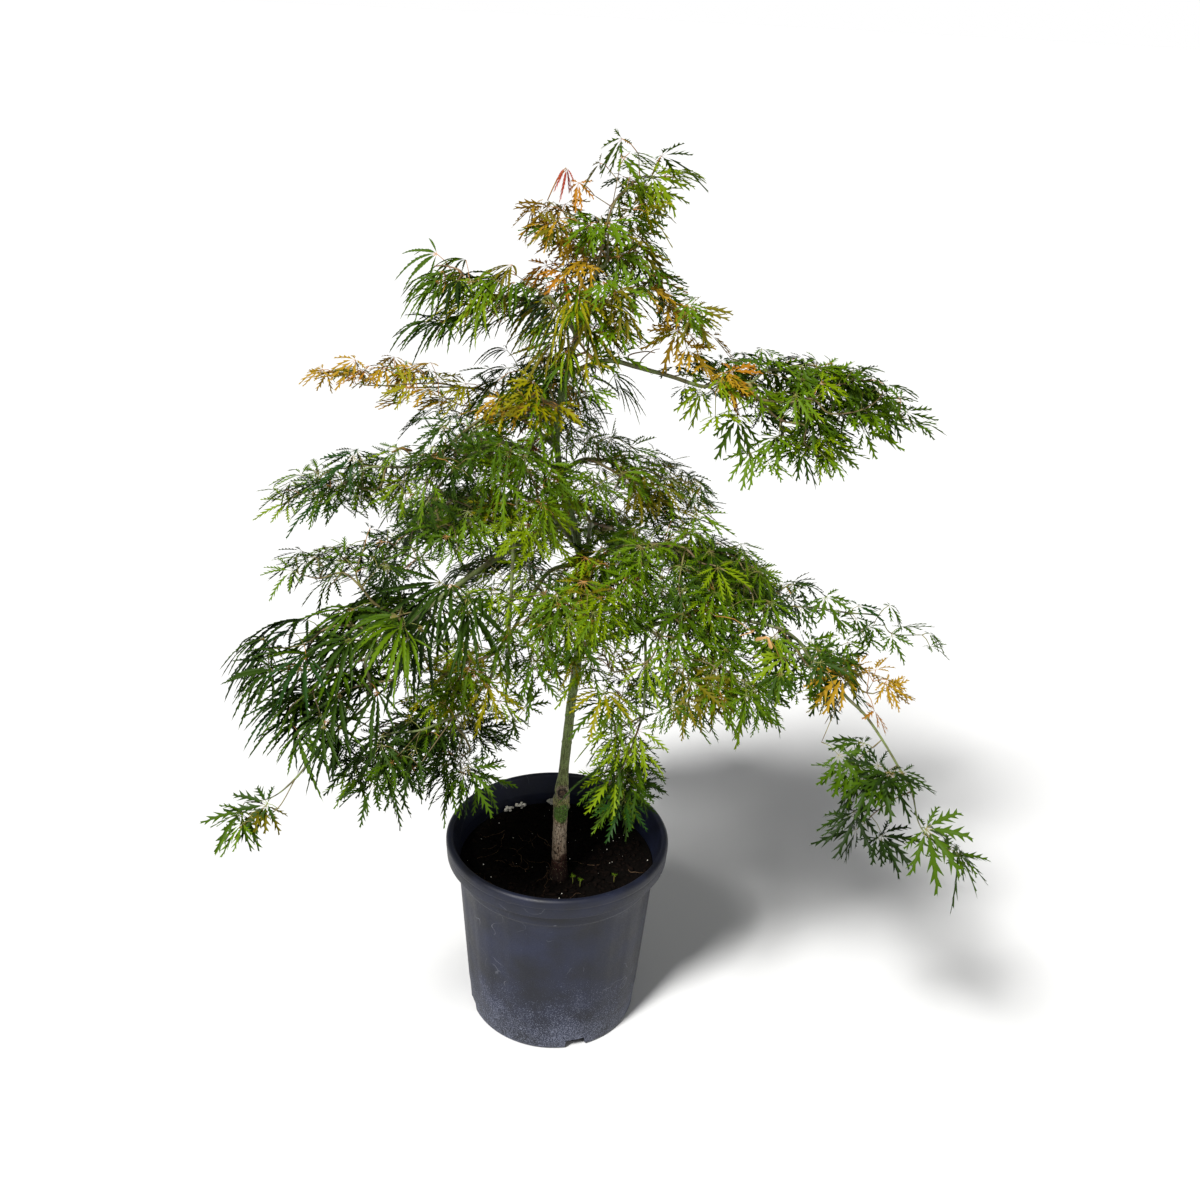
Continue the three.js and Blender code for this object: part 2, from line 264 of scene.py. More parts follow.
# How the crown grows on from them.
growth = {
    "nodesPerLitre": 27,  # leaf nodes for each litre of a mass
    "outerMargin": 0.75,  # the leaves reach on past the nodes by about this share of a lobe's length
    "innerMargin": 0.1,
    "sideMargin": 0.45,
    "lowShare": 0.36,  # nodes keep to the upper part of a pad, as the leaves hang from them
    "highShare": 1.0,
    "balance": 0.28,  # 0 joins each node to its neighbour, 1 sends each a twig of its own
    "turning": 0.7,  # what a sharp turn adds to a way
    "strayCost": 0.03,  # keeps a mass from taking many twigs from its neighbours
    "tries": 14,  # places tried for each node, of which the farthest from the others is kept
    "tipRadius": 0.00048,
    "shootStep": 0.026,  # metres between the nodes of a side shoot
    "shootSink": 0.12,
    "shootWander": 0.16,
}

# leaf form, lobe length in mm, palette, palette of the outer end, share of nodes kept
massLooks = {
    "crown_top": ("fern", 43, "olive", "olive", 0.66),
    "crown_gold": ("fern", 36, "golden", "golden", 1.2),
    "top_right": ("fern", 42, "olive", "olive", 0.95),
    "top_left": ("strap", 54, "olive", "deep", 1.0),
    "heart": ("strap", 44, "deep", "green", 0.6),
    "gold_spray": ("fern", 36, "turning", "golden", 1.6),
    "left_upper": ("lace", 46, "green", "deep", 1.4),
    "mid_left": ("lace", 46, "green", "green", 1.5),
    "left_mid": ("lace", 46, "deep", "green", 1.5),
    "centre_left": ("lace", 48, "sunny", "sunny", 1.5),
    "strap_left": ("strap", 74, "deep", "deep", 0.9),
    "strap_drop": ("strap", 70, "deep", "deep", 0.85),
    "low_left_inner": ("lace", 48, "sunny", "fresh", 1.5),
    "low_left_front": ("lace", 54, "deep", "deep", 1.1),
    "left_tip": ("fern", 50, "green", "green", 0.8),
    "hang_left": ("fern", 40, "deep", "deep", 1.2),
    "big_right": ("fern", 42, "fresh", "green", 1.4),
    "dome": ("lace", 44, "green", "green", 1.15),
    "right_mass": ("lace", 50, "green", "green", 1.6),
    "front_centre": ("lace", 48, "sunny", "green", 1.6),
    "front_left": ("lace", 46, "green", "green", 0.8),
    "front_right": ("lace", 48, "green", "green", 1.3),
    "pot_hang": ("lace", 54, "green", "deep", 1.1),
    "right_arm": ("fern", 36, "deep", "deep", 1.15),
    "right_fall": ("fern", 42, "green", "golden", 1.2),
    "fall_mid": ("fern", 50, "deep", "green", 0.42),
    "fall_tip": ("fern", 55, "deep", "green", 0.6),
    "back_high": ("lace", 50, "green", "green", 1.4),
    "back_left": ("lace", 50, "green", "deep", 1.4),
    "back_middle": ("lace", 50, "green", "green", 1.4),
    "back_right": ("lace", 50, "green", "turning", 1.4),
    "back_drop": ("strap", 64, "deep", "deep", 1.0),
}

# short leafy side shoots: how many, the shares of the bough they leave between, their length in metres
sideShoots = {
    "top_left": (4, 0.3, 1.0, 0.06),
    "top_right": (4, 0.3, 1.0, 0.055),
    "gold_spray": (5, 0.2, 1.0, 0.055),
    "left_upper": (5, 0.3, 1.0, 0.07),
    "mid_left": (3, 0.3, 1.0, 0.06),
    "big_right": (3, 0.85, 1.0, 0.05),
    "dome": (3, 0.3, 1.0, 0.06),
    "low_left_inner": (3, 0.5, 1.0, 0.06),
    "strap_left": (3, 0.7, 1.0, 0.06),
    "right_mass": (2, 0.5, 1.0, 0.06),
    "right_arm": (3, 0.8, 1.0, 0.05),
    "pot_hang": (2, 0.6, 1.0, 0.04),
}
stemShoots = {"count": 8, "from": 0.86, "to": 1.0, "length": 0.05, "looks": ("heart", "gold_spray", "heart")}

# loose growth between the masses: whose leaves it has, its middle and half size in metres, leaf nodes
looseSprays = {
    "under_crown": ("crown_top", (0.018, -0.03, 1.075), (0.025, 0.03, 0.045), 7),
    "by_dome": ("dome", (0.075, -0.04, 0.79), (0.05, 0.03, 0.03), 7),
    "under_dome": ("right_mass", (0.115, -0.06, 0.745), (0.055, 0.035, 0.025), 9),
    "before_stem": ("mid_left", (-0.04, -0.13, 0.7), (0.045, 0.03, 0.025), 6),
    "under_front": ("front_centre", (0.04, -0.17, 0.63), (0.04, 0.025, 0.02), 6),
    "over_fall": ("right_fall", (0.27, -0.13, 0.625), (0.06, 0.03, 0.022), 10),
    "over_pot": ("pot_hang", (0.074, -0.16, 0.585), (0.018, 0.02, 0.03), 4),
    "inner_dark": ("low_left_front", (0.065, -0.07, 0.705), (0.045, 0.03, 0.018), 7),
    "left_gap": ("low_left_inner", (-0.17, -0.13, 0.6), (0.05, 0.03, 0.025), 7),
    "dark_drop": ("low_left_front", (-0.11, -0.16, 0.51), (0.025, 0.025, 0.045), 10),
    "right_drop": ("big_right", (0.27, -0.03, 0.864), (0.06, 0.03, 0.008), 6),
    "inner_left": ("left_upper", (-0.1, -0.07, 0.83), (0.055, 0.03, 0.02), 8),
    "under_gold": ("crown_gold", (-0.005, -0.035, 1.05), (0.03, 0.03, 0.025), 4),
    "top_sprig": ("crown_top", (0.078, -0.01, 1.134), (0.012, 0.01, 0.005), 2),
    "right_roof": ("big_right", (0.285, -0.03, 0.932), (0.05, 0.025, 0.006), 5),
    "gold_drop": ("crown_gold", (0.125, -0.02, 0.985), (0.014, 0.015, 0.026), 4),
    "gold_bit": ("crown_gold", (0.162, -0.04, 0.93), (0.016, 0.015, 0.008), 2),
    "low_star": ("fall_mid", (0.35, -0.23, 0.478), (0.016, 0.015, 0.008), 2),
    "by_crown": ("crown_top", (0.055, -0.02, 1.075), (0.03, 0.025, 0.03), 5),
    "left_end": ("left_upper", (-0.27, -0.06, 0.785), (0.045, 0.03, 0.02), 8),
    "over_strap": ("strap_left", (-0.19, -0.12, 0.655), (0.05, 0.03, 0.018), 5),
    "low_bright": ("centre_left", (-0.13, -0.12, 0.558), (0.03, 0.03, 0.035), 6),
    "low_dark": ("low_left_front", (-0.122, -0.14, 0.48), (0.03, 0.03, 0.03), 6),
    "before_centre": ("centre_left", (-0.053, -0.1, 0.825), (0.04, 0.03, 0.018), 6),
    "under_big": ("big_right", (0.247, -0.05, 0.858), (0.05, 0.03, 0.014), 6),
    "over_top_left": ("top_left", (-0.114, -0.05, 1.02), (0.04, 0.03, 0.012), 5),
    "right_inner": ("right_mass", (0.134, -0.1, 0.68), (0.04, 0.03, 0.03), 7),
    "dome_left": ("dome", (0.035, -0.04, 0.835), (0.035, 0.03, 0.02), 6),
    "fall_line": ("fall_mid", (0.365, -0.24, 0.548), (0.028, 0.015, 0.014), 3),
    "fall_gold": ("crown_gold", (0.345, -0.17, 0.615), (0.02, 0.015, 0.01), 3),
}

# open air that no leaf grows into: its middle and half size in metres
openAir = {
    "beside_stem": ((0.068, -0.03, 0.88), (0.062, 0.09, 0.033)),
    "behind_stem": ((0.062, 0.11, 0.825), (0.055, 0.09, 0.036)),
    "crown_right": ((0.142, -0.01, 1.1), (0.033, 0.09, 0.06)),
    "before_pot": ((-0.012, -0.15, 0.53), (0.016, 0.08, 0.05)),
    "hang_right": ((0.158, -0.18, 0.46), (0.04, 0.08, 0.08)),
    "strap_top": ((-0.41, -0.14, 0.6), (0.05, 0.2, 0.05)),
    "dome_right": ((0.153, -0.03, 0.836), (0.048, 0.09, 0.034)),
}

skeleton = {"place": [], "parent": [], "mass": [], "reach": [], "outer": [], "free": []}


def addPoint(place, parent, mass, outer=0.0, free=False):
    reach = 0.0
    if parent is not None:
        reach = skeleton["reach"][parent] + np.linalg.norm(place - skeleton["place"][parent])
    for key, value in zip(skeleton, (np.array(place, float), parent, mass, reach, outer, free)):
        skeleton[key].append(value)
    return len(skeleton["place"]) - 1


def heading(index):
    parent = skeleton["parent"][index]
    if parent is None:
        return up
    return unit(skeleton["place"][index] - skeleton["place"][parent])


def massFrame(name):
    # A mass's own axes, half sizes and surface, from its node.
    mesh = nodes["foliage_" + name].data
    points = np.array([v.co[:] for v in mesh.vertices])
    surface = BVHTree.FromPolygons([v.co for v in mesh.vertices], [p.vertices[:] for p in mesh.polygons])
    forward = unit((points.mean(0) - trunkPath[0]) * [1, 1, 0])
    across = np.cross(up, forward)
    ahead, aside = points @ forward, points @ across
    middle = forward * (ahead.min() + ahead.max()) / 2 + across * (aside.min() + aside.max()) / 2
    solid = bmesh.new()
    solid.from_mesh(mesh)
    litres = abs(solid.calc_volume()) * 1000
    solid.free()
    return {"forward": forward, "across": across, "middle": middle, "half": np.ptp(ahead) / 2,
            "halfWidth": np.ptp(aside) / 2, "low": points[:, 2].min(), "high": points[:, 2].max(),
            "surface": surface, "litres": litres, "lobe": massLooks[name][1] / 1000}


def placeIn(mass, u, v, w):
    # The point at shares u ahead, v aside and w up between the mass's two faces, or None.
    margin = growth["outerMargin"] if u > 0 else growth["innerMargin"]
    alongShare = max(0.25, 1 - margin * mass["lobe"] / mass["half"])
    sideShare = max(0.35, 1 - growth["sideMargin"] * mass["lobe"] / mass["halfWidth"])
    plan = (mass["middle"] + mass["forward"] * u * mass["half"] * alongShare
            + mass["across"] * v * mass["halfWidth"] * sideShare)
    over = mass["surface"].ray_cast(Vector((plan[0], plan[1], mass["high"] + 1)), Vector((0, 0, -1)))[0]
    under = mass["surface"].ray_cast(Vector((plan[0], plan[1], mass["low"] - 1)), Vector((0, 0, 1)))[0]
    if over is None or under is None:
        return None
    return np.array([plan[0], plan[1], under.z + (over.z - under.z) * w])


def spreadPoints(mass, count):
    # Places spread evenly through the mass, each the farthest of a few tries from those before.
    found = []
    while len(found) < count:
        tries = []
        while len(tries) < growth["tries"]:
            u, v = dice.uniform(-1, 1, 2)
            place = placeIn(mass, u, v, dice.uniform(growth["lowShare"], growth["highShare"]))
            if u * u + v * v <= 1 and place is not None:
                tries.append((place, u))
        if not found:
            found.append(tries[0])
            continue
        held = np.array([place for place, _ in found])
        gaps = [np.linalg.norm(held - place, axis=1).min() for place, _ in tries]
        found.append(tries[int(np.argmax(gaps))])
    return found


def joinNodes(name, targets, roots, stray=False, free=False):
    # Joins new nodes, each a place and its share of the way out, to the nearest twig that leads their way.
    places = np.array([place for place, _ in targets])
    waiting = list(range(len(targets)))
    joined = list(roots)
    outside = set(roots) if stray else set()
    while waiting:
        tree = np.array([skeleton["place"][i] for i in joined])
        ways = np.array([heading(i) for i in joined])
        own = np.array([growth["strayCost"] if i in outside else growth["balance"] * skeleton["reach"][i]
                        for i in joined])
        gaps = places[waiting][:, None, :] - tree[None]
        lengths = np.linalg.norm(gaps, axis=2)
        turns = 1 - np.einsum("wjk,jk->wj", gaps, ways) / np.maximum(lengths, 1e-6)
        costs = lengths * (1 + growth["turning"] * turns / 2) + own[None]
        w, j = np.unravel_index(costs.argmin(), costs.shape)
        target = waiting.pop(w)
        joined.append(addPoint(places[target], joined[j], name, targets[target][1], free))


def growMass(name, roots, stray=False):
    mass = massFrame(name)
    count = max(3, int(round(growth["nodesPerLitre"] * mass["litres"] * massLooks[name][4])))
    joinNodes(name, [(place, (u + 1) / 2) for place, u in spreadPoints(mass, count)], roots, stray)
    return mass


stemRoots = [addPoint(stemAt(z), None, "stem") for z in np.arange(0.86, trunkHigh.z - 0.005, 0.02)]
for below, above in zip(stemRoots, stemRoots[1:]):
    skeleton["parent"][above] = below
limbPoints = {}
masses = {}


def leavesStem(place):
    return np.linalg.norm((place - stemAt(place[2]))[:2]) < 0.03


def growLimb(name):
    # The bough's own points, from the stem's middle or from the nearest twig.
    line = limbs[name][0]
    start = line[0]
    if leavesStem(start):
        root = addPoint(stemAt(start[2] - 0.006), None, "stem")
    else:
        held = np.array(skeleton["place"])
        root = int(np.linalg.norm(held - start, axis=1).argmin())
    places = [root]
    for place in line[::2]:
        places.append(addPoint(place, places[-1], "bough"))
    limbPoints[name] = places
    skeleton["reach"][places[-1]] = 0.0
    return places[-1]


hanging = [name for name in boughNames if not leavesStem(limbs[name][0][0])]
for name in [n for n in boughNames if n not in hanging]:
    masses[name] = growMass(name, [growLimb(name)])
orphans = [name for name in massNames if name not in boughNames]
for name in [n for n in orphans if n != "fall_mid"]:
    masses[name] = growMass(name, range(len(skeleton["place"])), stray=True)
for name in hanging:
    masses[name] = growMass(name, [growLimb(name)])
masses["fall_mid"] = growMass("fall_mid", range(len(skeleton["place"])), stray=True)


def addShoot(root, mass, way, length):
    # A side shoot that starts along way and sinks as it goes out.
    here = skeleton["place"][root]
    count = max(2, int(round(length / growth["shootStep"])))
    for _ in range(count):
        way = unit(way - up * growth["shootSink"] + dice.normal(0, growth["shootWander"], 3))
        here = here + way * length / count
        root = addPoint(here, root, mass, 0.3, free=True)


for name, (number, low, high, length) in sideShoots.items():
    places = limbPoints[name]
    for i in range(number):
        share = low + (high - low) * (i + dice.uniform(0.2, 0.8)) / number
        root = places[min(len(places) - 1, max(1, int(round(share * (len(places) - 1)))))]
        onward = heading(root)
        side = unit(np.cross(onward, up)) * (1 if i % 2 else -1)
        addShoot(root, name, unit(onward * 0.5 + side * 0.8 + up * dice.uniform(-0.1, 0.5)),
                 length * dice.uniform(0.7, 1.3))
turn = 0.0
for i in range(stemShoots["count"]):
    height = stemShoots["from"] + (stemShoots["to"] - stemShoots["from"]) * i / (stemShoots["count"] - 1)
    root = stemRoots[int(np.argmin([abs(skeleton["place"][k][2] - height) for k in stemRoots]))]
    turn += 2.4 + dice.uniform(-0.4, 0.4)
    way = unit(np.array([math.cos(turn), math.sin(turn), 0.45]))
    look = stemShoots["looks"][i % len(stemShoots["looks"])]
    addShoot(root, look, way, stemShoots["length"] * dice.uniform(0.7, 1.2))
for name, (mass, middle, half, number) in looseSprays.items():
    turns = dice.normal(size=(number, 3))
    turns = np.array(half) * turns / np.linalg.norm(turns, axis=1)[:, None]
    spots = middle + turns * dice.uniform(0.3, 1, (number, 1))
    targets = [(spot, dice.uniform(0, 0.6)) for spot in spots]
    joinNodes(mass, targets, range(len(skeleton["place"])), stray=True, free=True)
print("crown grown:", len(skeleton["place"]), "nodes")


# Strands: each runs on through its strongest twig, and the others leave it.
count = len(skeleton["place"])
children = [[] for _ in range(count)]
for i, parent in enumerate(skeleton["parent"]):
    if parent is not None and skeleton["mass"][i] != "stem":
        children[parent].append(i)
weight = np.ones(count)
for i in sorted(range(count), key=lambda k: -k):
    parent = skeleton["parent"][i]
    if parent is not None and parent < i and skeleton["mass"][i] != "stem":
        weight[parent] += weight[i]

# A fork's twigs together are about as thick as what bears them.
thickness = growth["tipRadius"] * weight ** 0.42
for name, places in limbPoints.items():
    thickness[places[1:]] = np.linspace(limbs[name][1], limbs[name][2], len(places) - 1)
for i in range(count):
    parent = skeleton["parent"][i]
    if parent is not None and skeleton["mass"][i] not in ("stem", "bough"):
        thickness[i] = min(thickness[i], thickness[parent] * 0.96)


def strandFrom(index):
    # The nodes of the strand that starts at this one, and the nodes that leave it.
    line, leaving = [index], []
    while children[line[-1]]:
        here = line[-1]
        way = heading(here)
        ranked = sorted(children[here], key=lambda c: -weight[c] ** 0.5 * (1.6 + heading(c) @ way))
        line.append(ranked[0])
        leaving += ranked[1:]
    return line, leaving


strands = []
starts = [i for i in range(count) if skeleton["parent"][i] is not None and skeleton["mass"][i] != "stem"
          and (skeleton["mass"][skeleton["parent"][i]] == "stem")]
while starts:
    first = starts.pop()
    line, leaving = strandFrom(first)
    strands.append([skeleton["parent"][first]] + line)
    starts += leaving
tangents = np.zeros((count, 3))
for strand in strands:
    line = np.array([skeleton["place"][i] for i in strand])
    slopes = np.gradient(line, axis=0)
    for i, slope in zip(strand[1:], slopes[1:]):
        tangents[i] = unit(slope)
print("strands:", len(strands))


barkLook = {
    # height above the soil in metres, colour
    "zones": [
        (0.0, "#150a09"), (0.022, "#2c1411"), (0.034, "#4c2e26"), (0.039, "#b39e89"), (0.079, "#b7a892"),
        (0.098, "#9a8668"), (0.118, "#84834f"), (0.153, "#75824a"), (0.193, "#6f7f48"), (0.443, "#667d42"),
    ],
    "wander": 0.03,  # how far a zone's edge wanders, in metres
    "patchesToTheMetre": 60,
    "streaksToTheMetre": (900, 900, 70),  # about 1 mm wide and 14 mm long
    "pitsToTheMetre": 330,
    "poresToTheMetre": 420,
    "groove": "#735f4b",  # what the bark's grooves darken it by
    # painted shade in the cork's pits
    "pit": "#2a2018",
    "pore": "#a39c80",
    "shoot": "#6c7a45",
    "shootShade": "#59543a",
    "twig": "#77703f",
    "twigShade": "#5e4a34",
    "scarSize": 0.0068,  # radius of the pruned stub's scar, in metres
}
graftHeight = trunkHeights[np.argmax(np.where(trunkHeights > trunkLow.z + 0.08, trunkRadii, 0))]
scarPlace = Vector(stemAt(graftHeight + 0.006)) + Vector((0.1, -0.99, 0)) * 0.0114
mossPlace = Vector(stemAt(graftHeight - 0.026)) + Vector((0.35, -0.93, 0)) * 0.0104
# place, radius and softness in metres, colour
barkLook["patches"] = [
    (mossPlace, 0.0135, 0.0018, "#4f7426"), (scarPlace, 0.0105, 0.0014, "#8d8069"),
    (scarPlace, barkLook["scarSize"], 0.0009, "#21170f"), (scarPlace, 0.0042, 0.0009, "#6b5846"),
]


def barkMaterial():
    # Young maple bark, grown: a waxy green skin with darker stripes above the graft, dry tan cork below it.
    material, tree, shader = newMaterial("youngMapleBark", Roughness=0.62, Specular_IOR_Level=0.22)
    coords = addNode(tree, "TexCoord", out="Object")
    height = addNode(tree, "SeparateXYZ", {"Vector": coords}, out="Z")
    # The colours change with the height, at an edge that wanders.
    cloud = addNode(tree, "TexNoise", {"Vector": coords, "Scale": barkLook["patchesToTheMetre"], "Detail": 3})
    uneven = addNode(tree, "Math", {0: cloud, 1: barkLook["wander"]}, operation="MULTIPLY")
    place = addNode(tree, "Math", {0: height, 1: uneven}, operation="ADD")
    low, span = trunkLow.z + barkLook["wander"] / 2, barkLook["zones"][-1][0]
    climb = addNode(tree, "MapRange", {"Value": place, "From Min": low, "From Max": low + span})
    first, *between, last = [(height / span, colour) for height, colour in barkLook["zones"]]
    skin = addNode(tree, "ValToRGB", {"Fac": climb}, stops=[first, last, *between])
    for centre, radius, soft, colour in barkLook["patches"]:
        away = addNode(tree, "VectorMath", {0: coords, 1: centre}, operation="DISTANCE", out="Value")
        blot = addNode(tree, "Math", {0: cloud, 1: radius, 2: -radius * 0.5}, operation="MULTIPLY_ADD")
        near = addNode(tree, "Math", {0: away, 1: blot}, operation="ADD")
        mask = addNode(tree, "MapRange", {"Value": near, "From Min": radius - soft, "From Max": radius + soft,
                                          "To Min": 1, "To Max": 0})
        skin = addNode(tree, "Mix", {0: mask, 6: skin, 7: linear(colour)}, data_type="RGBA", out=2)
    # Streaks along the stem darken it.
    stretched = addNode(tree, "Mapping", {"Vector": coords, "Scale": barkLook["streaksToTheMetre"]})
    grain = addNode(tree, "TexNoise", {"Vector": stretched, "Scale": 1, "Detail": 5, "Roughness": 0.65})
    worn = addNode(tree, "MapRange", {"Value": grain, "From Min": 0.36, "From Max": 0.56})
    dark = addNode(tree, "Mix", {0: 1.0, 6: skin, 7: linear(barkLook["groove"])}, data_type="RGBA",
                   blend_type="MULTIPLY", out=2)
    striped = addNode(tree, "Mix", {0: worn, 6: dark, 7: skin}, data_type="RGBA", out=2)
    # Cork cracks into small plates and pits, mostly below the graft. The pits are painted dark: painted shade
    # in holes that the relief doesn't cut.
    pits = addNode(tree, "TexNoise", {"Vector": coords, "Scale": barkLook["pitsToTheMetre"], "Detail": 4,
                                      "Roughness": 0.7, "Distortion": 0.6})
    corky = addNode(tree, "MapRange", {"Value": height, "From Min": graftHeight - 0.005,
                                       "From Max": graftHeight + 0.035, "To Min": 0.95, "To Max": 0.4})
    pitted = addNode(tree, "MapRange", {"Value": pits, "From Min": 0.515, "From Max": 0.58})
    pitShade = addNode(tree, "Math", {0: pitted, 1: corky}, operation="MULTIPLY")
    striped = addNode(tree, "Mix", {0: pitShade, 6: striped, 7: linear(barkLook["pit"])}, data_type="RGBA", out=2)
    spots = addNode(tree, "TexVoronoi", {"Vector": coords, "Scale": barkLook["poresToTheMetre"]})
    pore = addNode(tree, "MapRange", {"Value": spots, "From Min": 0.14, "From Max": 0.24, "To Min": 0.6,
                                      "To Max": 0.0})
    dotted = addNode(tree, "Mix", {0: pore, 6: striped, 7: linear(barkLook["pore"])}, data_type="RGBA", out=2)
    bump = addNode(tree, "Bump", {"Height": grain, "Distance": 0.0006, "Strength": 0.6})
    wire(shader, Base_Color=dotted, Normal=bump)
    return material


def shootMaterial(name, base, shade, rough):
    # Smooth, thin-skinned shoots, grown: little relief, streaked in patches of about 1 cm.
    material, tree, shader = newMaterial(name, Roughness=rough, Specular_IOR_Level=0.4)
    coords = addNode(tree, "TexCoord", out="Object")
    tone = addNode(tree, "TexNoise", {"Vector": coords, "Scale": 90, "Detail": 4})
    share = addNode(tree, "MapRange", {"Value": tone, "From Min": 0.38, "From Max": 0.62})
    colour = addNode(tree, "Mix", {0: share, 6: linear(shade), 7: linear(base)}, data_type="RGBA", out=2)
    wire(shader, Base_Color=colour)
    return material


def addRelief(mesh, rise):
    # Moves each point out along its normal, by a height in metres.
    normals = [v.normal.copy() for v in mesh.vertices]
    for vertex, normal in zip(mesh.vertices, normals):
        vertex.co += normal * rise(vertex.co)
    mesh.update()


stemRelief = {  # lumps to the metre across and along the stem, heights and reaches in metres
    "slimness": 0.91,  # of the frame's stem, because the relief stands out from it
    "ridges": (260, 30), "ridgeHeight": 0.00028, "corkHeight": 0.0004, "corkFade": 0.006,
    "grain": (700, 160), "grainHeight": 0.00016,
    "burl": (110, 95), "burlHeight": 0.004, "burlDrop": 0.006, "burlReach": 0.019,
    "ledgeHeight": 0.0016, "ledgeDrop": 0.017, "ledgeSway": 0.003, "ledgeReach": 0.004,
    "nodeGaps": (0.026, 0.05), "nodes": 18, "nodeHeight": 0.0006, "nodeReach": 0.0016,
    "scarLip": 0.0016, "scarMiddle": 0.0006,
}
stemNodes = np.cumsum(dice.uniform(*stemRelief["nodeGaps"], stemRelief["nodes"])) + graftHeight + 0.03


def lumpAt(place, across, along):
    return noise.noise(Vector((place.x * across, place.y * across, place.z * along)))


def stemRise(place):
    # How far the bark stands out: ridges and grain, the graft's burl and ledge, rings at the nodes, the scar.
    relief = stemRelief
    above = place.z - graftHeight
    cork = 1 / (1 + math.exp(above / relief["corkFade"]))
    ridge = lumpAt(place, *relief["ridges"]) * (relief["ridgeHeight"] + relief["corkHeight"] * cork)
    fine = lumpAt(place, *relief["grain"]) * relief["grainHeight"]
    aroundGraft = math.exp(-((above + relief["burlDrop"]) / relief["burlReach"]) ** 2)
    burl = lumpAt(place, *relief["burl"]) * relief["burlHeight"] * aroundGraft
    sway = relief["ledgeSway"] * math.sin(90 * place.x)
    onLedge = (above + relief["ledgeDrop"] + sway) / relief["ledgeReach"]
    ledge = relief["ledgeHeight"] * math.exp(-onLedge ** 2)
    gap = np.abs(stemNodes - place.z - 0.003 * math.sin(40 * (place.x + place.y))).min()
    ring = relief["nodeHeight"] * math.exp(-(gap / relief["nodeReach"]) ** 2)
    away = (place - scarPlace).length / barkLook["scarSize"]
    lip = relief["scarLip"] * math.exp(-((away - 1) / 0.35) ** 2)
    scar = lip + relief["scarMiddle"] * math.exp(-(away / 0.6) ** 4)
    return ridge + fine + burl + ledge + ring + scar


stemTop = np.vstack([trunkPath[0] - up * 0.008, trunkPath])
stemPath, stemShares = smoothPath(stemTop, 0.0026)
stemWidths = np.interp(stemShares, range(len(stemTop)), np.append(trunkRadii[0], trunkRadii))
stemMesh = tubeMesh("stem", [(stemPath, stemWidths * stemRelief["slimness"])], sides=36)
addRelief(stemMesh, stemRise)
newObject("stem", stemMesh, barkMaterial(), ["trunk"])

twigShape = {
    "boughStep": 0.0035, "twigStep": 0.007,  # between a tube's rings, in metres
    "boughCollar": 0.45, "twigCollar": 0.3, "collarReach": 0.007,  # the swelling where it leaves its parent
    "nodeSwell": 0.16, "nodeReach": 0.06,  # the swelling at each leaf node
    "tip": 0.5,
}


def strandTube(strand, step, collar):
    # The strand's path and radii, swollen where it leaves its parent and a little at each leaf node.
    places = [skeleton["place"][i] for i in strand]
    widths = [thickness[i] for i in strand]
    widths[0] = widths[1]
    path, shares = smoothPath(places, step)
    radii = np.interp(shares, range(len(widths)), widths)
    way = np.append(0, np.cumsum(np.linalg.norm(np.diff(path, axis=0), axis=1)))
    radii *= 1 + collar * np.exp(-way / twigShape["collarReach"])
    isLeafNode = np.array([skeleton["mass"][i] not in ("stem", "bough") for i in strand])
    near = np.round(shares).astype(int)
    beside = np.exp(-((shares - near) / twigShape["nodeReach"]) ** 2)
    radii *= 1 + twigShape["nodeSwell"] * isLeafNode[near] * beside
    radii[-1] *= twigShape["tip"]
    return path, radii


boughStrands, twigStrands = [], []
for strand in strands:
    isBough = any(skeleton["mass"][i] == "bough" for i in strand[1:])
    if isBough:
        boughStrands.append(strandTube(strand, twigShape["boughStep"], twigShape["boughCollar"]))
    else:
        twigStrands.append(strandTube(strand, twigShape["twigStep"], twigShape["twigCollar"]))
boughMesh = tubeMesh("boughs", boughStrands, sides=10)
addRelief(boughMesh, lambda p: noise.noise(p * 330) * 0.00018 + noise.noise(p * 90) * 0.00016)
boughBark = shootMaterial("greenShootBark", barkLook["shoot"], barkLook["shootShade"], 0.55)
newObject("boughs", boughMesh, boughBark, ["bough_" + name for name in boughNames])
twigBark = shootMaterial("twigSkin", barkLook["twig"], barkLook["twigShade"], 0.6)
newObject("twigs", tubeMesh("twigs", twigStrands), twigBark)
print("bark made")


# lobes: degrees to each side of the middle one, and length; the rest in shares of a lobe's length
leafForms = {
    "lace": {"lobes": ((0, 1), (30, 0.95), (62, 0.82), (98, 0.58)), "teeth": 6, "bends": 2,
             "stalk": 0.18, "half": 0.025, "tooth": 0.165, "lean": 36, "notch": 0.84,
             "fold": 0.3, "sag": 0.2, "sweep": 0.25},
    "fern": {"lobes": ((0, 1), (32, 0.95), (66, 0.8), (104, 0.55)), "teeth": 4, "bends": 2,
             "stalk": 0.16, "half": 0.046, "tooth": 0.2, "lean": 40, "notch": 0.72,
             "fold": 0.3, "sag": 0.22, "sweep": 0.25},
    "strap": {"lobes": ((0, 1), (19, 0.96), (40, 0.84), (68, 0.62)), "teeth": 9, "bends": 3,
              "stalk": 0.1, "half": 0.03, "tooth": 0.06, "lean": 24, "notch": 0.95,
              "fold": 0.5, "sag": 0.5, "sweep": 0.85},
    "young": {"lobes": ((0, 1), (30, 0.9), (62, 0.7)), "teeth": 6, "bends": 3,
              "stalk": 0.2, "half": 0.045, "tooth": 0.16, "lean": 34, "notch": 0.7,
              "fold": 0.5, "sag": 0.9, "sweep": 0.3},
}

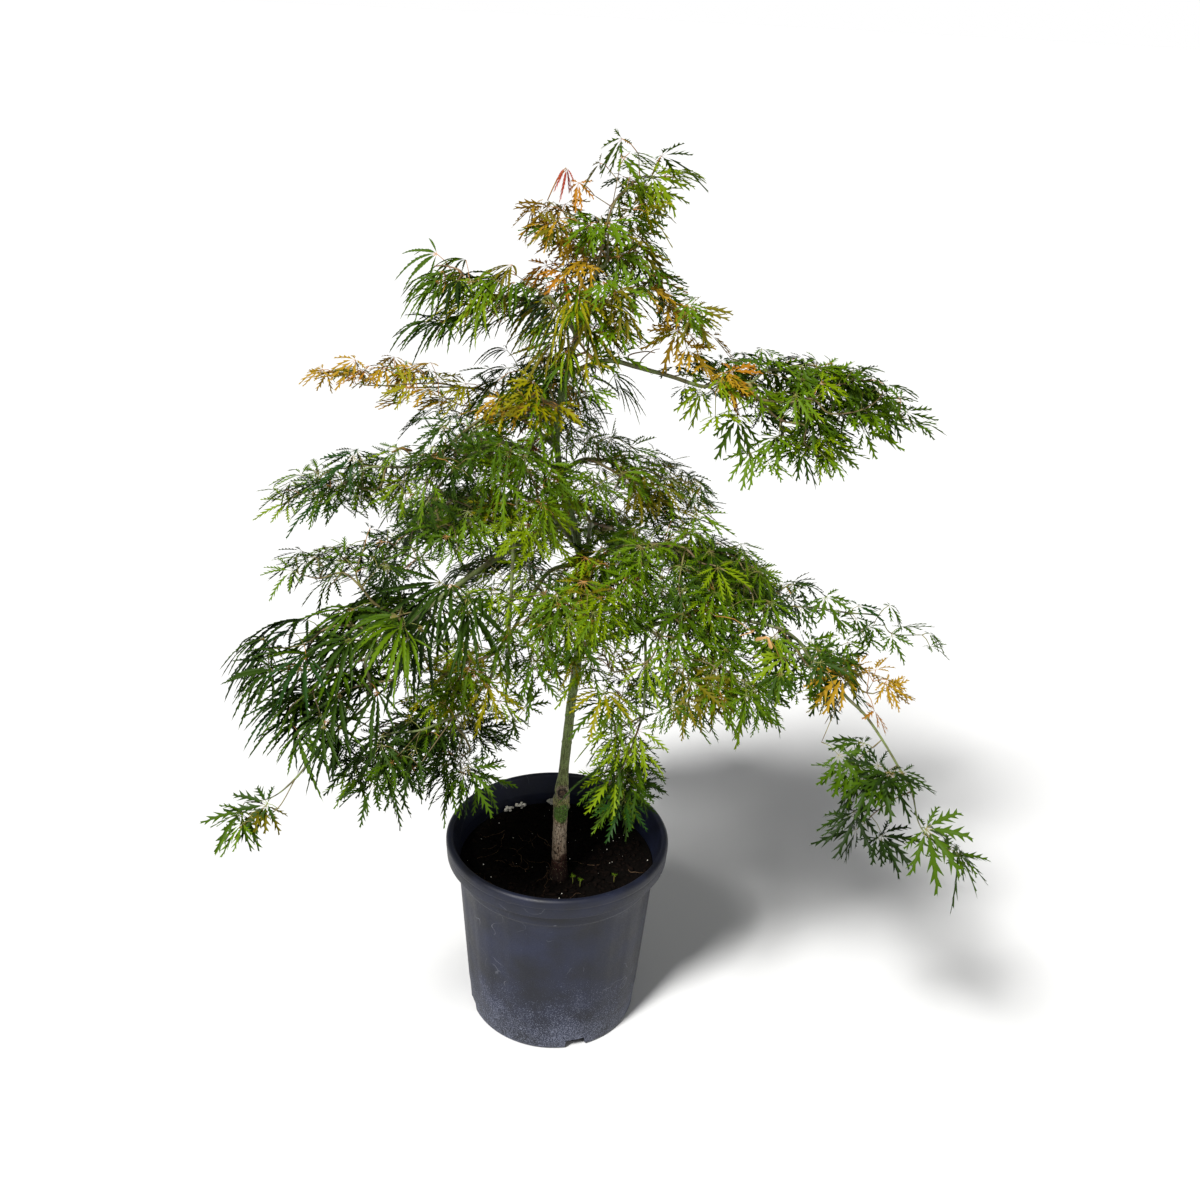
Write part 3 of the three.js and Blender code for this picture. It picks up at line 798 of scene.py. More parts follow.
# tints dealt out by spray: base colour, slot
tints = {
    "forest": ("#182a04", "dark_leaf"),
    "deep": ("#273e03", "dark_leaf"),
    "teal": ("#1c3a0c", "dark_leaf"),
    "mid": ("#3a5400", "leaf"),
    "fresh": ("#4e6900", "leaf"),
    "bright": ("#667b00", "leaf"),
    "lime": ("#7a7600", "leaf"),
    "olive": ("#5e5804", "gold_leaf"),
    "gold": ("#927312", "gold_leaf"),
    "amber": ("#996712", "gold_leaf"),
    "blush": ("#a3402a", "gold_leaf"),
}
palettes = {
    "deep": {"forest": 4, "deep": 4, "teal": 0.4, "mid": 2.5, "fresh": 0.7},
    "green": {"deep": 2.7, "mid": 4.6, "fresh": 3.9, "bright": 0.8, "olive": 0.5},
    "fresh": {"mid": 3.2, "fresh": 5, "bright": 1.6, "deep": 1.3, "lime": 0.6},
    "sunny": {"mid": 2.6, "fresh": 4, "bright": 2.4, "lime": 1},
    "olive": {"mid": 3.6, "olive": 2.5, "fresh": 3, "bright": 0.6, "lime": 1, "gold": 0.12},
    "turning": {"fresh": 2.5, "bright": 1, "lime": 3, "olive": 1.5, "gold": 1.5},
    "golden": {"gold": 5, "amber": 1.2, "olive": 1.5, "lime": 1.5, "mid": 0.3},
}


def lobe(form):
    # One lobe of length 1 along x: toothed faces on both sides of its middle rib, bent in a few places.
    teeth, bends, stalk = form["teeth"], form["bends"], form["stalk"]
    span = (0.93 - stalk) / teeth
    lean = math.radians(form["lean"])

    def swell(x):
        return math.sin(math.pi * min(1, max(0, (x - stalk) / (1 - stalk))) ** 0.8) ** 0.8

    each = teeth // bends
    rib = [stalk + span * each * g for g in range(bends)] + [1.0]
    points = [(x, 0.0) for x in rib]
    faces = []
    for side in (1, -1):
        shift = 0.0 if side > 0 else 0.45
        edge = [(stalk, side * 0.007)]
        for i in range(teeth):
            base = stalk + span * (i + shift)
            size = form["tooth"] * swell(base + span * 0.3) * dice.uniform(0.75, 1.2)
            wide = form["half"] * swell(base + span * 0.3)
            edge.append((base + span * 0.1, side * wide))
            edge.append((base + span * 0.5 + size * math.cos(lean), side * (wide + size * math.sin(lean))))
            notch = min(0.985, base + span * form["notch"])
            edge.append((notch, side * form["half"] * swell(notch)))
        start = len(points)
        points += edge
        for g in range(bends):
            outline = [g] + [start + k for k in range(3 * each * g, 3 * each * (g + 1) + 1)] + [g + 1]
            faces.append(outline[::-1] if side > 0 else outline)
    flat = np.array(points)
    return np.column_stack([flat, form["fold"] * np.abs(flat[:, 1])]), faces


def leafShape(form):
    # A whole leaf in its own plane, and the stalk-like feet of its lobes.
    points, corners, sizes, feet, footCorners = [], [], [], [], []
    middle, *pairs = form["lobes"]
    lobes = [middle] + [(side * angle, length) for angle, length in pairs for side in (1, -1)]
    for angle, length in lobes:
        turn = math.radians(angle + dice.uniform(-4, 4))
        length *= dice.uniform(0.9, 1.08)
        shape, faces = lobe(form)
        shape *= length
        stalk = form["stalk"]
        foot = np.array([(0, -0.004, 0), (stalk, -0.007, 0), (stalk, 0.007, 0), (0, 0.004, 0)])
        foot[:, 0] *= length
        bend, rise, arch = dice.uniform(-0.3, 0.3), dice.normal(0, 0.16), dice.uniform(-0.45, 0.1)
        for part in (shape, foot):
            part[:, 1] += bend * part[:, 0] ** 2
            part[:, 2] += rise * part[:, 0] + arch * part[:, 0] ** 2
        spin = np.array(Matrix.Rotation(turn, 3, "Z")).T
        corners += [len(points) + k for face in faces for k in face]
        sizes += [len(face) for face in faces]
        points += list(shape @ spin)
        footCorners += [len(feet) + k for k in range(4)]
        feet += list(foot @ spin)
    return ((np.array(points), np.array(corners), np.array(sizes)),
            (np.array(feet), np.array(footCorners), np.full(len(feet) // 4, 4)))


leafing = {
    "variants": 9,  # different leaves drawn of each form
    "tries": 8,  # at a leaf's direction
    "reach": 0.003,  # a leaf's tip may stand this far outside its mass, in metres
    "stray": 0.014,  # and is left out if it can't be brought within this, or a little more in a small mass
    "sprayTint": 0.7,  # share of a spray's leaves that keep its tint
    "stalk": (0.012, 0.028),  # length in metres, shorter at the end of a twig
    "size": (0.78, 1.12),  # of its mass's lobe length
    "endSize": 0.85,  # of the leaves at the end of a twig
    "stalkRadius": (0.00055, 0.0004),
    "stalkArch": 0.12,  # of its length
    "outerFrom": (0.68, 0.08),  # share of the way out where the outer palette starts, and how it varies
    "turn": 70,  # degrees from one pair of leaves to the next
    "turnSpread": 0.35,
    "sideLean": 0.55, "endLean": 1.2,  # how far a stalk leans on along its twig
    "lift": 0.3,
    "stalkSpread": 0.2,
    "droop": (-0.3, 0.6),  # of the blade
    "bladeSpread": 0.25,
    "tilt": 0.5,
    "warmPalettes": ("sunny", "golden", "olive", "turning"),  # whose stalks are mostly red-brown
}
shapes = {kind: [leafShape(form) for _ in range(leafing["variants"])] for kind, form in leafForms.items()}
leafParts = {tint: [] for tint in tints}
tintMasses = {tint: set() for tint in tints}
footParts = {"warm": [], "green": []}
petioles = {"warm": [], "green": []}


def hang(part, at, axes, size, sag):
    # Sets a shape at its place: its points are turned, scaled and drawn down by their own weight.
    points, corners, sizes = part
    placed = points @ axes * size + at
    reach = np.linalg.norm(points[:, :2], axis=1)
    placed[:, 2] -= sag * size * reach ** 2
    return placed, corners, sizes


def overshoot(mass, point):
    # How far the point lies outside the mass, in metres.
    place, normal, _, _ = masses[mass]["surface"].find_nearest(Vector(point))
    return float((Vector(point) - place).dot(normal))


def bladeAxes(way, tilt):
    # The blade's own axes: along its middle lobe, aside, and out of its upper face.
    way = unit(way)
    face = unit(up - way * (up @ way) + dice.normal(0, 0.05, 3))
    side = unit(np.cross(face, way))
    face = np.cross(way, side)
    cosine, sine = math.cos(tilt), math.sin(tilt)
    return np.array([way, side * cosine - face * sine, face * cosine + side * sine])


lobeTips = np.array([(0.95, 0, 0), (0.45, 0.72, 0), (0.45, -0.72, 0)])  # of a blade of length 1


def tipsBeyond(mass, at, axes, size, sag):
    # How far the farthest of three lobes' tips would lie outside the mass.
    tips = (lobeTips @ axes) * size + at - up * sag * size
    return max(overshoot(mass, tip) for tip in tips)


def addLeaf(at, axes, kind, size, tint, stalkTone, sag):
    leaf, foot = shapes[kind][dice.integers(leafing["variants"])]
    leafParts[tint].append(hang(leaf, at, axes, size, sag))
    footParts[stalkTone].append(hang(foot, at, axes, size, sag))


def pick(palette):
    names = list(palettes[palette])
    shares = np.array([palettes[palette][name] for name in names], float)
    return names[dice.choice(len(names), p=shares / shares.sum())]


def addStem(start, end, tone):
    # A petiole, arched a little between its node and the blade.
    length = np.linalg.norm(end - start)
    middle = (start + end) / 2 + up * length * leafing["stalkArch"]
    path, _ = smoothPath([start, middle, end], length / 3)
    petioles[tone].append((path, np.linspace(*leafing["stalkRadius"], len(path))))


airMiddles = np.array([middle for middle, _ in openAir.values()])
airHalves = np.array([half for _, half in openAir.values()])


def inOpenAir(points):
    # Whether any of the points is in one of the open places.
    apart = (np.array(points)[:, None] - airMiddles) / airHalves
    return bool((np.sum(apart ** 2, axis=2) < 1).any())


def asideFrom(index, step):
    # The way to one leaf of a node's pair, turned on from the pair before.
    way = tangents[index]
    side = np.cross(way, up)
    side = unit(side if np.linalg.norm(side) > 0.3 else np.cross(way, unit(dice.normal(size=3))))
    roll = (step % 2) * math.radians(leafing["turn"]) + dice.normal(0, leafing["turnSpread"])
    return side * math.cos(roll) + np.cross(side, way) * math.sin(roll)


def bestLeaf(index, aside, kind, size, sag):
    # The best of a few tries: how far its tips lie outside the mass, the stalk's end and the blade's axes.
    mass, place, best = skeleton["mass"][index], skeleton["place"][index], None
    away = outwardFrom(place)
    isSide = aside.any()
    ahead = tangents[index] * leafing["sideLean" if isSide else "endLean"]
    for _ in range(leafing["tries"]):
        stemWay = unit(ahead + aside + up * leafing["lift"] + dice.normal(0, leafing["stalkSpread"], 3))
        at = place + stemWay * dice.uniform(*leafing["stalk"]) * (1 if isSide else 0.6)
        outward = away * dice.uniform(0, 2 * leafForms[kind]["sweep"])
        bladeWay = unit(unit(stemWay * [1, 1, 0]) + outward - up * dice.uniform(*leafing["droop"])
                        + dice.normal(0, leafing["bladeSpread"], 3))
        axes = bladeAxes(bladeWay, dice.normal(0, leafing["tilt"]))
        beyond = 0.0 if skeleton["free"][index] else tipsBeyond(mass, at, axes, size, sag)
        if inOpenAir([at, at + axes[0] * size * 0.8]):
            beyond += 1.0
        if best is None or beyond < best[0]:
            best = (beyond, at, axes)
        if beyond < leafing["reach"]:
            break
    return best


def dressNode(index, step, sprayTints):
    # A pair of leaves at a node, and a third at the end of a twig.
    mass = skeleton["mass"][index]
    kind, lobeLength, inner, outer, _ = massLooks[mass]
    palette = outer if skeleton["outer"][index] > dice.normal(*leafing["outerFrom"]) else inner
    sprayTint = sprayTints.setdefault(palette, pick(palette))
    aside = asideFrom(index, step)
    isEnd = not children[index]
    warmShare = 0.85 if palette in leafing["warmPalettes"] else 0.1
    for sign in (1, -1, 0) if isEnd else (1, -1):
        tint = sprayTint if dice.random() < leafing["sprayTint"] else pick(palette)
        tone = "warm" if dice.random() < warmShare else "green"
        size = lobeLength / 1000 * dice.uniform(*leafing["size"]) * (leafing["endSize"] if isEnd else 1)
        sag = leafForms[kind]["sag"] * dice.uniform(0.6, 1.4)
        beyond, at, axes = bestLeaf(index, aside * sign, kind, size, sag)
        narrow = 0.9 * min(masses[mass]["half"], masses[mass]["halfWidth"])
        if beyond > leafing["stray"] + max(0, size - narrow):
            continue
        addStem(skeleton["place"][index], at, tone)
        addLeaf(at, axes, kind, size, tint, tone, sag)
        tintMasses[tint].add(mass)


for strand in strands:
    sprayTints = {}
    for step, index in enumerate(strand[1:]):
        if skeleton["mass"][index] not in ("stem", "bough"):
            dressNode(index, step, sprayTints)
print("leaves:", sum(len(parts) for parts in leafParts.values()))

# single leaves that hang clear of the sprays: place and way in metres, form, lobe in mm, tint, stalk
singleLeaves = [
    ((-0.016, -0.03, 1.142), (-0.05, -0.1, -1.0), "young", 18, "blush", "warm"),
    ((-0.015, -0.031, 1.141), (0.15, -0.1, -1.0), "young", 16, "blush", "warm"),
    ((-0.002, -0.035, 1.128), (-0.2, -0.2, -0.9), "fern", 28, "amber", "warm"),
    ((0.186, -0.05, 0.886), (0.05, -0.7, -0.7), "fern", 46, "mid", "green"),
    ((0.01, -0.03, 1.0), (0.2, -0.6, -0.6), "fern", 44, "fresh", "green"),
]
# paired winged seeds, tan and rusty: where they hang from the nearest shoot
keyPlaces = [(-0.008, -0.06, 0.956), (0.014, -0.05, 0.952), (-0.192, -0.05, 0.831), (-0.285, -0.24, 0.649),
             (0.208, -0.2, 0.693), (0.225, -0.2, 0.688)]
rustyKeys = [(-0.046, -0.066, 0.853), (-0.04, -0.07, 0.846), (-0.034, -0.064, 0.855), (-0.04, -0.06, 0.84)]
# dry stubs of twig: where they stand off the nearest shoot, how they lean and their radius
stubPlaces = [
    ((0.06, -0.03, 0.944), (0.03, -0.002, 0.006), 0.0009),
    ((-0.047, -0.06, 0.868), (-0.012, -0.01, -0.012), 0.0012),
    ((-0.122, -0.06, 1.034), (-0.03, 0.004, 0.004), 0.0012),
    ((0.075, -0.035, 0.942), (0.02, 0.006, 0.012), 0.0007),
]
heldPlaces = np.array(skeleton["place"])


def nearestShoot(at):
    return heldPlaces[int(np.linalg.norm(heldPlaces - at, axis=1).argmin())]


for at, way, kind, size, tint, tone in singleLeaves:
    at = np.array(at)
    addStem(nearestShoot(at), at, tone)
    addLeaf(at, bladeAxes(np.array(way), 0.1), kind, size / 1000, tint, tone, leafForms[kind]["sag"])


seedlings = [(0.024, -0.05, 0.243), (0.034, -0.056, 0.242), (0.079, -0.045, 0.244)]  # sprouts in the soil
for at in np.array(seedlings):
    addStem(at - up * 0.012, at, "green")
    for turn in (0, 2.1, 4.2):
        bladeWay = np.array([math.cos(turn), math.sin(turn), 0.3])
        addLeaf(at, bladeAxes(bladeWay, 0), "strap", 0.005, "fresh", "green", 0)


def keyShape():
    # One winged seed of a maple key, closed, along x from its stalk: outline in mm, then its two faces.
    outline = np.array([(0, 0), (1.5, -1.6), (3.6, -1.3), (7, -2.6), (12, -3.4), (15, -1.6), (14, 0.8),
                        (8, 1.2), (4, 1.1), (1.8, 1.7)], float)
    thick = np.where(outline[:, 0] < 4, 0.7, 0.2)
    count = len(outline)
    points = np.vstack([np.column_stack([outline, thick]), np.column_stack([outline, -thick])]) / 1000
    corners = list(range(count)) + list(range(2 * count - 1, count - 1, -1))
    for i in range(count):
        k = (i + 1) % count
        corners += [i, i + count, k + count, k]
    return points, np.array(corners), np.array([count, count] + [4] * count)


def hangKeys(places):
    points, corners, sizes = keyShape()
    made = []
    for at in np.array(places):
        addStem(nearestShoot(at), at, "warm")
        around = Matrix.Rotation(dice.uniform(0, 6.28), 3, "Z")
        spin = around @ Matrix.Rotation(dice.uniform(0.3, 1.2), 3, "Y")
        for opening in (0.9, -0.9):
            turned = np.array(spin @ Matrix.Rotation(opening, 3, "Z"))
            made.append((points @ turned.T + at, corners, sizes))
    return made


keys = {"tan": ("#b58f5a", hangKeys(keyPlaces)), "rusty": ("#8f4c22", hangKeys(rustyKeys))}


def leafMaterial(tint, colour):
    # A living maple leaf, grown: a thin waxy cuticle over veins 1.5 mm apart, so a soft broken gloss.
    material, tree, shader = newMaterial(tint + "MapleLeaf", Base_Color=linear(colour),
                                         Specular_IOR_Level=0.12)
    coords = addNode(tree, "TexCoord", out="Object")
    veins = addNode(tree, "TexNoise", {"Vector": coords, "Scale": 650, "Detail": 3})
    sheen = addNode(tree, "MapRange", {"Value": veins, "From Min": 0.3, "From Max": 0.7, "To Min": 0.45,
                                       "To Max": 0.68})
    bump = addNode(tree, "Bump", {"Height": veins, "Distance": 0.0004, "Strength": 0.45})
    wire(shader, Roughness=sheen, Normal=bump)
    return material


for tint, (colour, slot) in tints.items():
    if leafParts[tint]:
        mesh = joinedMesh("leaves_" + tint, leafParts[tint])
        stood = ["foliage_" + name for name in sorted(tintMasses[tint])]
        newObject("leaves_" + tint, mesh, leafMaterial(tint, colour), stood)
stalkLooks = {"warm": ("#ab7834", "#8f6430"), "green": ("#758438", "#7b6a38")}
for tone, (base, shade) in stalkLooks.items():
    skin = shootMaterial(tone + "PetioleSkin", base, shade, 0.5)
    stalks, feet = "petioles_" + tone, "lobe_feet_" + tone
    newObject(stalks, tubeMesh(stalks, petioles[tone], sides=4), skin)
    newObject(feet, joinedMesh(feet, footParts[tone]), skin)
for name, (colour, made) in keys.items():
    # Dry papery wings, grown: matt, with no gloss.
    paper, _, _ = newMaterial(name + "MapleKey", Base_Color=linear(colour), Roughness=0.75,
                              Specular_IOR_Level=0.2)
    newObject("keys_" + name, joinedMesh("keys_" + name, made), paper)
stubs = []
for at, lean, thick in stubPlaces:
    at, lean = np.array(at), np.array(lean)
    path, _ = smoothPath([nearestShoot(at), at, at + lean * 0.6 + up * 0.003, at + lean], 0.003)
    stubs.append((path, np.linspace(1.2, 0.6, len(path)) * thick))
deadWood = shootMaterial("deadTwigWood", "#8d7454", "#4a382a", 0.8)
newObject("dead_twigs", tubeMesh("dead_twigs", stubs), deadWood)
print("leaves made")


potShape = {  # millimetres
    "sides": 168, "step": 225,
    "height": 278, "top": 136, "base": 116, "wall": 3, "floor": 10,
    "longest": 14,  # the wall is divided into rings at most about this far apart
    "flutes": 14, "fluteDepth": 1.1, "fluteShare": 0.46, "fluteLow": 40,
    "slots": 4, "slotTurn": -71, "slotWidth": 32, "slotHeight": 15,
    "nickTurn": -19, "nickWidth": 7,
}


def bodyRadius(z):
    return potShape["base"] + (potShape["top"] - potShape["base"]) * z / (potShape["height"] - 28)


def potCorners():
    # From the middle of the underside: foot, wall, step, band, folded rim and inside, in millimetres.
    # Each corner has its radius, height and rounding.
    wall, top, step = potShape["wall"], potShape["height"], potShape["step"]
    return [
        (0, 0, 0), (32, 0, 1), (36, 5, 1), (88, 5, 1), (92, 0, 1.5), (111, 0, 2), (115.4, 3, 3),
        (bodyRadius(36) - 0.8, 36, 3), (bodyRadius(46), 46, 4),
        (bodyRadius(step) - 1, step, 1), (bodyRadius(step + 2.5) + 0.2, step + 2.5, 1),
        (136.2, top - 29, 2), (138, top - 23, 2), (140, top - 12, 2), (146, top - 11.4, 1),
        (145.6, top - 27.6, 0.8), (148.9, top - 27.8, 1.1), (149.8, top - 14.6, 1), (149.6, top - 13, 0.8),
        (150.2, top - 11.2, 1.6), (150.2, top - 3.4, 4), (146.6, top + 0.2, 3.5),
        (141.4, top - 0.6, 3), (139.4, top - 7, 3), (133.2, top - 27, 2),
        (bodyRadius(potShape["floor"]) - wall, potShape["floor"], 4), (0, potShape["floor"], 0),
    ]


def rounded(corners, steps=3):
    # The path through the corners, each turned through a small arc of its own rounding.
    path = [np.array(corners[0][:2], float)]
    for before, corner, after in zip(corners, corners[1:], corners[2:]):
        point = np.array(corner[:2], float)
        back, on = np.array(before[:2]) - point, np.array(after[:2]) - point
        reach = min(corner[2], np.linalg.norm(back) * 0.45, np.linalg.norm(on) * 0.45)
        start, end = point + unit(back) * reach, point + unit(on) * reach
        for t in np.linspace(0, 1, steps + 1):
            path.append((1 - t) ** 2 * start + 2 * t * (1 - t) * point + t * t * end)
    return path + [np.array(corners[-1][:2], float)]


def spun(profile, sides):
    # A turned body about Z from its profile of radius and height, in millimetres.
    made = bmesh.new()
    line = [made.verts.new((radius / 1000, 0, height / 1000)) for radius, height in profile]
    edges = [made.edges.new(pair) for pair in zip(line, line[1:])]
    bmesh.ops.spin(made, geom=line + edges, axis=(0, 0, 1), cent=(0, 0, 0), angle=2 * math.pi, steps=sides,
                   use_merge=True, use_duplicate=False)
    bmesh.ops.remove_doubles(made, verts=made.verts, dist=1e-6)
    bmesh.ops.recalc_face_normals(made, faces=made.faces)
    return made


def addBlock(made, turn, reach, low, depth, widthLow, widthHigh, height):
    # A block for cutting, wider below than above, set at a reach from the axis.
    block = bmesh.ops.create_cube(made, size=1)["verts"]
    for vertex in block:
        width = widthHigh if vertex.co.z > 0 else widthLow
        vertex.co = Vector((vertex.co.x * depth + reach, vertex.co.y * width,
                            low + (vertex.co.z + 0.5) * height)) / 1000
    bmesh.ops.rotate(made, verts=block, matrix=Matrix.Rotation(math.radians(turn), 3, "Z"))
    return block


def cutBy(piece, cutter):
    blade = inScene("cutter", cutter)
    cut = piece.modifiers.new("cut", "BOOLEAN")
    cut.operation = "DIFFERENCE"
    cut.solver = "EXACT"
    cut.object = blade
    bpy.context.view_layer.update()
    shaped = bpy.data.meshes.new_from_object(piece.evaluated_get(bpy.context.evaluated_depsgraph_get()))
    piece.modifiers.clear()
    bpy.data.objects.remove(blade)
    return shaped


def addFlutes(made):
    # Shallow flutes up the wall, which fade out at both ends.
    low, step = potShape["fluteLow"], potShape["step"]
    for vertex in made.verts:
        radius, z = math.hypot(vertex.co.x, vertex.co.y) * 1000, vertex.co.z * 1000
        if low < z < step and radius > bodyRadius(z) - 2:
            phase = math.atan2(vertex.co.y, vertex.co.x) / (2 * math.pi) * potShape["flutes"] % 1
            edge = min(phase, potShape["fluteShare"] - phase) * 60
            ends = min(1, (z - low) / 18, (step - z) / 8)
            depth = potShape["fluteDepth"] / (1 + math.exp(-edge)) * ends
            vertex.co.x *= 1 - depth / radius
            vertex.co.y *= 1 - depth / radius


def slotCutter():
    # Blocks that cut the drainage slots, rounded above, and the nick in the rim's skirt.
    made = bmesh.new()
    width, height = potShape["slotWidth"], potShape["slotHeight"] + 4
    for i in range(potShape["slots"]):
        turn = potShape["slotTurn"] + 360 / potShape["slots"] * i
        block = addBlock(made, turn, potShape["base"], -4, 60, width, width - 6, height)
        uprights = [e for v in block for e in v.link_edges
                    if abs(e.verts[0].co.z - e.verts[1].co.z) < 1e-6 and e.verts[0].co.z > 0]
        bmesh.ops.bevel(made, geom=list(set(uprights)), offset=0.002, segments=3, profile=0.5,
                        affect="EDGES", material=-1)
    addBlock(made, potShape["nickTurn"], 149, potShape["height"] - 31, 10, potShape["nickWidth"], 2, 9)
    return finished(made, "cutter")


def potMesh():
    profile = rounded(potCorners())
    fine = []
    for a, b in zip(profile, profile[1:]):
        count = max(1, int(np.linalg.norm(b - a) / potShape["longest"]))
        fine += [a + (b - a) * i / count for i in range(count)]
    made = spun(fine + [profile[-1]], potShape["sides"])
    addFlutes(made)
    blank = inScene("potBlank", finished(made, "pot"))
    shaped = cutBy(blank, slotCutter())
    bpy.data.objects.remove(blank)
    shaped.name = "pot"
    shaped.shade_smooth()
    shaped.set_sharp_from_angle(angle=math.radians(38))
    return shaped


potLook = {
    "plastic": "#070b19", "faded": "#131930", "scale": "#7b8091", "scratch": "#6d707a",
    "scaleTop": 0.17,  # how high the mineral scale climbs, in metres
    "cloudsToTheMetre": 22,
    "dotsToTheMetre": 640,  # of scale, about 1.5 mm apart
    "hairsToTheMetre": 26,
    "grainToTheMetre": 1100,  # the moulding's skin, about 1 mm
}


def potMaterial():
    # Black polypropylene, injection moulded: faded blue-grey, with splashed mineral scale low down and
    # hair scratches near the top.
    material, tree, shader = newMaterial("weatheredPolypropylene", Specular_IOR_Level=0.42)
    coords = addNode(tree, "TexCoord", out="Object")
    height = addNode(tree, "SeparateXYZ", {"Vector": coords}, out="Z")
    cloud = addNode(tree, "TexNoise", {"Vector": coords, "Scale": potLook["cloudsToTheMetre"], "Detail": 5})
    faded = addNode(tree, "MapRange", {"Value": cloud, "From Min": 0.35, "From Max": 0.68})
    skin = addNode(tree, "Mix", {0: faded, 6: linear(potLook["plastic"]), 7: linear(potLook["faded"])},
                   data_type="RGBA", out=2)
    # The scale lies in dots, more of them near the ground and in some clouds.
    low = addNode(tree, "MapRange", {"Value": height, "From Min": 0.0, "From Max": potLook["scaleTop"],
                                     "To Min": 0.2, "To Max": -0.02})
    splash = addNode(tree, "Math", {0: cloud, 1: -0.5}, operation="ADD")
    spread = addNode(tree, "Math", {0: splash, 1: 0.22}, operation="MULTIPLY")
    share = addNode(tree, "Math", {0: low, 1: spread}, operation="ADD")
    dots = addNode(tree, "TexNoise", {"Vector": coords, "Scale": potLook["dotsToTheMetre"], "Detail": 3,
                                      "Roughness": 0.75})
    dotted = addNode(tree, "Math", {0: dots, 1: share}, operation="ADD")
    scale = addNode(tree, "MapRange", {"Value": dotted, "From Min": 0.66, "From Max": 0.78, "To Max": 0.68})
    scaled = addNode(tree, "Mix", {0: scale, 6: skin, 7: linear(potLook["scale"])}, data_type="RGBA", out=2)
    # A scratch runs where a soft noise crosses one value, in a few patches only.
    hair = addNode(tree, "TexNoise", {"Vector": coords, "Scale": potLook["hairsToTheMetre"], "Detail": 1})
    off = addNode(tree, "Math", {0: hair, 1: 0.52}, operation="SUBTRACT")
    line = addNode(tree, "Math", {0: off}, operation="ABSOLUTE")
    thin = addNode(tree, "MapRange", {"Value": line, "From Min": 0.0012, "From Max": 0.003, "To Min": 1,
                                      "To Max": 0})
    where = addNode(tree, "TexNoise", {"Vector": coords, "Scale": 17, "Detail": 2, "Distortion": 1})
    patch = addNode(tree, "MapRange", {"Value": where, "From Min": 0.57, "From Max": 0.63, "To Max": 0.75})
    scratch = addNode(tree, "Math", {0: thin, 1: patch}, operation="MULTIPLY")
    worn = addNode(tree, "Mix", {0: scratch, 6: scaled, 7: linear(potLook["scratch"])},
                   data_type="RGBA", out=2)
    dull = addNode(tree, "MapRange", {"Value": dotted, "From Min": 0.3, "From Max": 0.9, "To Min": 0.4,
                                      "To Max": 0.8})
    grain = addNode(tree, "TexNoise", {"Vector": coords, "Scale": potLook["grainToTheMetre"], "Detail": 2})
    bump = addNode(tree, "Bump", {"Height": grain, "Distance": 0.0002, "Strength": 0.35})
    wire(shader, Base_Color=worn, Roughness=dull, Normal=bump)
    return material


newObject("pot", potMesh(), potMaterial(), ["pot"])


soilShape = {  # metres
    "rings": 70, "sides": 150, "edge": 0.1312, "flat": 0.078, "level": 0.2286, "rise": 0.0065,
    "foot": (0.113, 0.0105),  # radius and height of its lower edge, on the pot's floor
    "lumps": ((70, 3, 0.003), (190, 8, 0.0019), (520, 5, 0.0011)),  # lumps to the metre, draw, height
    "chips": 1100, "chipSize": (0.0012, 0.004),
    "grains": 50, "grainSize": (0.0005, 0.0011),
    "heapGrains": 34, "heapSize": (0.0014, 0.0034), "heapLow": 0.237,
    "heapTurns": (126, 119, 116, 97),  # degrees: where perlite lies against the wall
    "fibres": 24, "fibreStep": 0.0065, "fibreRadius": (0.0003, 0.0006),
}


def soilHeight(x, y):
    away = math.hypot(x, y)
    slope = min(1, max(0, (away - soilShape["flat"]) / (soilShape["edge"] - soilShape["flat"])))
    rough = sum(noise.noise(Vector((x * each, y * each, draw))) * height
                for each, draw, height in soilShape["lumps"])
    return soilShape["level"] + soilShape["rise"] * slope ** 1.3 + rough * min(1, (0.1315 - away) / 0.004)


def soilMesh():
    # Lumpy rings from the middle out to the wall, then down the wall to a flat underside.
    rings, sides = soilShape["rings"], soilShape["sides"]
    turns = [2 * math.pi * k / sides for k in range(sides)]
    points = [(0, 0, soilHeight(0, 0))]
    for i in range(1, rings + 1):
        away = soilShape["edge"] * i / rings
        for turn in turns:
            x, y = away * math.cos(turn), away * math.sin(turn)
            points.append((x, y, soilHeight(x, y)))
    away, low = soilShape["foot"]
    points += [(away * math.cos(turn), away * math.sin(turn), low) for turn in turns]
    faces = []
    for k in range(sides):
        faces.append((0, 1 + k, 1 + (k + 1) % sides))
        for i in range(rings):
            a, b = 1 + i * sides, 1 + (i + 1) * sides
            faces.append((a + k, b + k, b + (k + 1) % sides, a + (k + 1) % sides))
    last = 1 + rings * sides
    faces.append(tuple(last + k for k in reversed(range(sides))))
    mesh = bpy.data.meshes.new("soil")
    mesh.from_pydata(points, [], faces)
    mesh.shade_smooth()
    return mesh


def crumb(roughness, flatness):
    # A small uneven lump of 20 faces.
    made = bmesh.new()
    bmesh.ops.create_icosphere(made, subdivisions=1, radius=1)
    for vertex in made.verts:
        vertex.co *= 1 + dice.uniform(-roughness, roughness)
        vertex.co.z *= flatness
    points = np.array([v.co[:] for v in made.verts])
    corners = np.array([v.index for f in made.faces for v in f.verts])
    made.free()
    return points, corners, np.full(len(corners) // 3, 3)


def scattered(lump, at, size, stretch):
    turn = Matrix.Rotation(dice.uniform(0, 6.28), 3, "Z") @ Matrix.Rotation(dice.normal(0, 0.5), 3, "X")
    points = lump[0] * [size * stretch, size, size]
    return points @ np.array(turn).T + at, lump[1], lump[2]


def groundPlace(most=0.125):
    away, turn = most * math.sqrt(dice.random()), dice.uniform(0, 2 * math.pi)
    return away * math.cos(turn), away * math.sin(turn)


